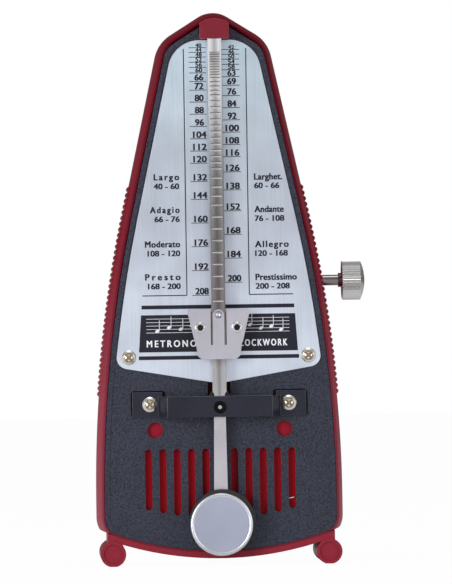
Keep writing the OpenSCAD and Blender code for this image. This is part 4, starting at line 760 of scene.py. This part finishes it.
lamp("key", (-0.65, -0.85, 0.24), 0.4, 5.4)
lamp("fill", (0.8, -0.9, 0.36), 0.7, 2.5)
lamp("top", (0, -0.1, 1.2), 0.6, 2.7)

world = bpy.data.worlds.new("studio")
bpy.context.scene.world = world
world.use_nodes = True
nodes, links = world.node_tree.nodes, world.node_tree.links
sky = nodes["Background"]
sky.inputs["Color"].default_value = (1, 1, 1, 1)
# metal sees a white table, a dark band at eye level with a light wall over it, darker walls above
# with a pale ceiling, and a dimmer room behind
where = nodes.new("ShaderNodeTexCoord")
split = nodes.new("ShaderNodeSeparateXYZ")
links.new(where.outputs["Generated"], split.inputs["Vector"])
heights = [(-1, 0.9), (-0.06, 0.85), (-0.02, 0.3), (0.01, 0.3), (0.03, 0.95), (0.16, 0.7), (0.36, 0.34),
           (0.7, 0.34), (1, 0.7)]
depths = [(-1, 1), (0.05, 1), (0.4, 0.25), (1, 0.25)]
room = nodes.new("ShaderNodeMath")
room.operation = "MULTIPLY"
for socket, axis, stops in ((0, "Z", heights), (1, "Y", depths)):
    shares = [((place + 1) / 2, level) for place, level in stops]
    links.new(graded(world.node_tree, split.outputs[axis], -1, 1, shares), room.inputs[socket])
# all other finishes get one even light from the room, and the room itself is seen as white
ray = nodes.new("ShaderNodeLightPath")
lit = nodes.new("ShaderNodeMix")
lit.inputs["A"].default_value = 0.42
links.new(ray.outputs["Is Glossy Ray"], lit.inputs["Factor"])
links.new(room.outputs["Value"], lit.inputs["B"])
seen = nodes.new("ShaderNodeMath")
seen.operation = "MAXIMUM"
links.new(ray.outputs["Is Camera Ray"], seen.inputs[0])
links.new(ray.outputs["Is Transmission Ray"], seen.inputs[1])
shown = nodes.new("ShaderNodeMix")
shown.inputs["B"].default_value = 1
links.new(seen.outputs[0], shown.inputs["Factor"])
links.new(lit.outputs["Result"], shown.inputs["A"])
links.new(shown.outputs["Result"], sky.inputs["Strength"])

nothing_selected()
bpy.ops.mesh.primitive_circle_add(vertices=96, radius=3, fill_type="NGON")
floor = bpy.context.object
floor.name = "floor"
paper = bpy.data.materials.new("white_paper")
paper.use_nodes = True
nodes, links = paper.node_tree.nodes, paper.node_tree.links
matt = nodes["Principled BSDF"]
matt.inputs["Base Color"].default_value = (0.93, 0.93, 0.93, 1)
matt.inputs["Roughness"].default_value = 0.9
glow = nodes.new("ShaderNodeEmission")
ray = nodes.new("ShaderNodeLightPath")
share = nodes.new("ShaderNodeMath")
share.operation = "MULTIPLY"
share.inputs[1].default_value = 0.97
links.new(ray.outputs["Is Camera Ray"], share.inputs[0])
mixed = nodes.new("ShaderNodeMixShader")
links.new(share.outputs[0], mixed.inputs["Fac"])
links.new(matt.outputs["BSDF"], mixed.inputs[1])
links.new(glow.outputs["Emission"], mixed.inputs[2])
links.new(mixed.outputs["Shader"], nodes["Material Output"].inputs["Surface"])
floor.data.materials.append(paper)
bpy.context.scene.view_settings.view_transform = "Standard"
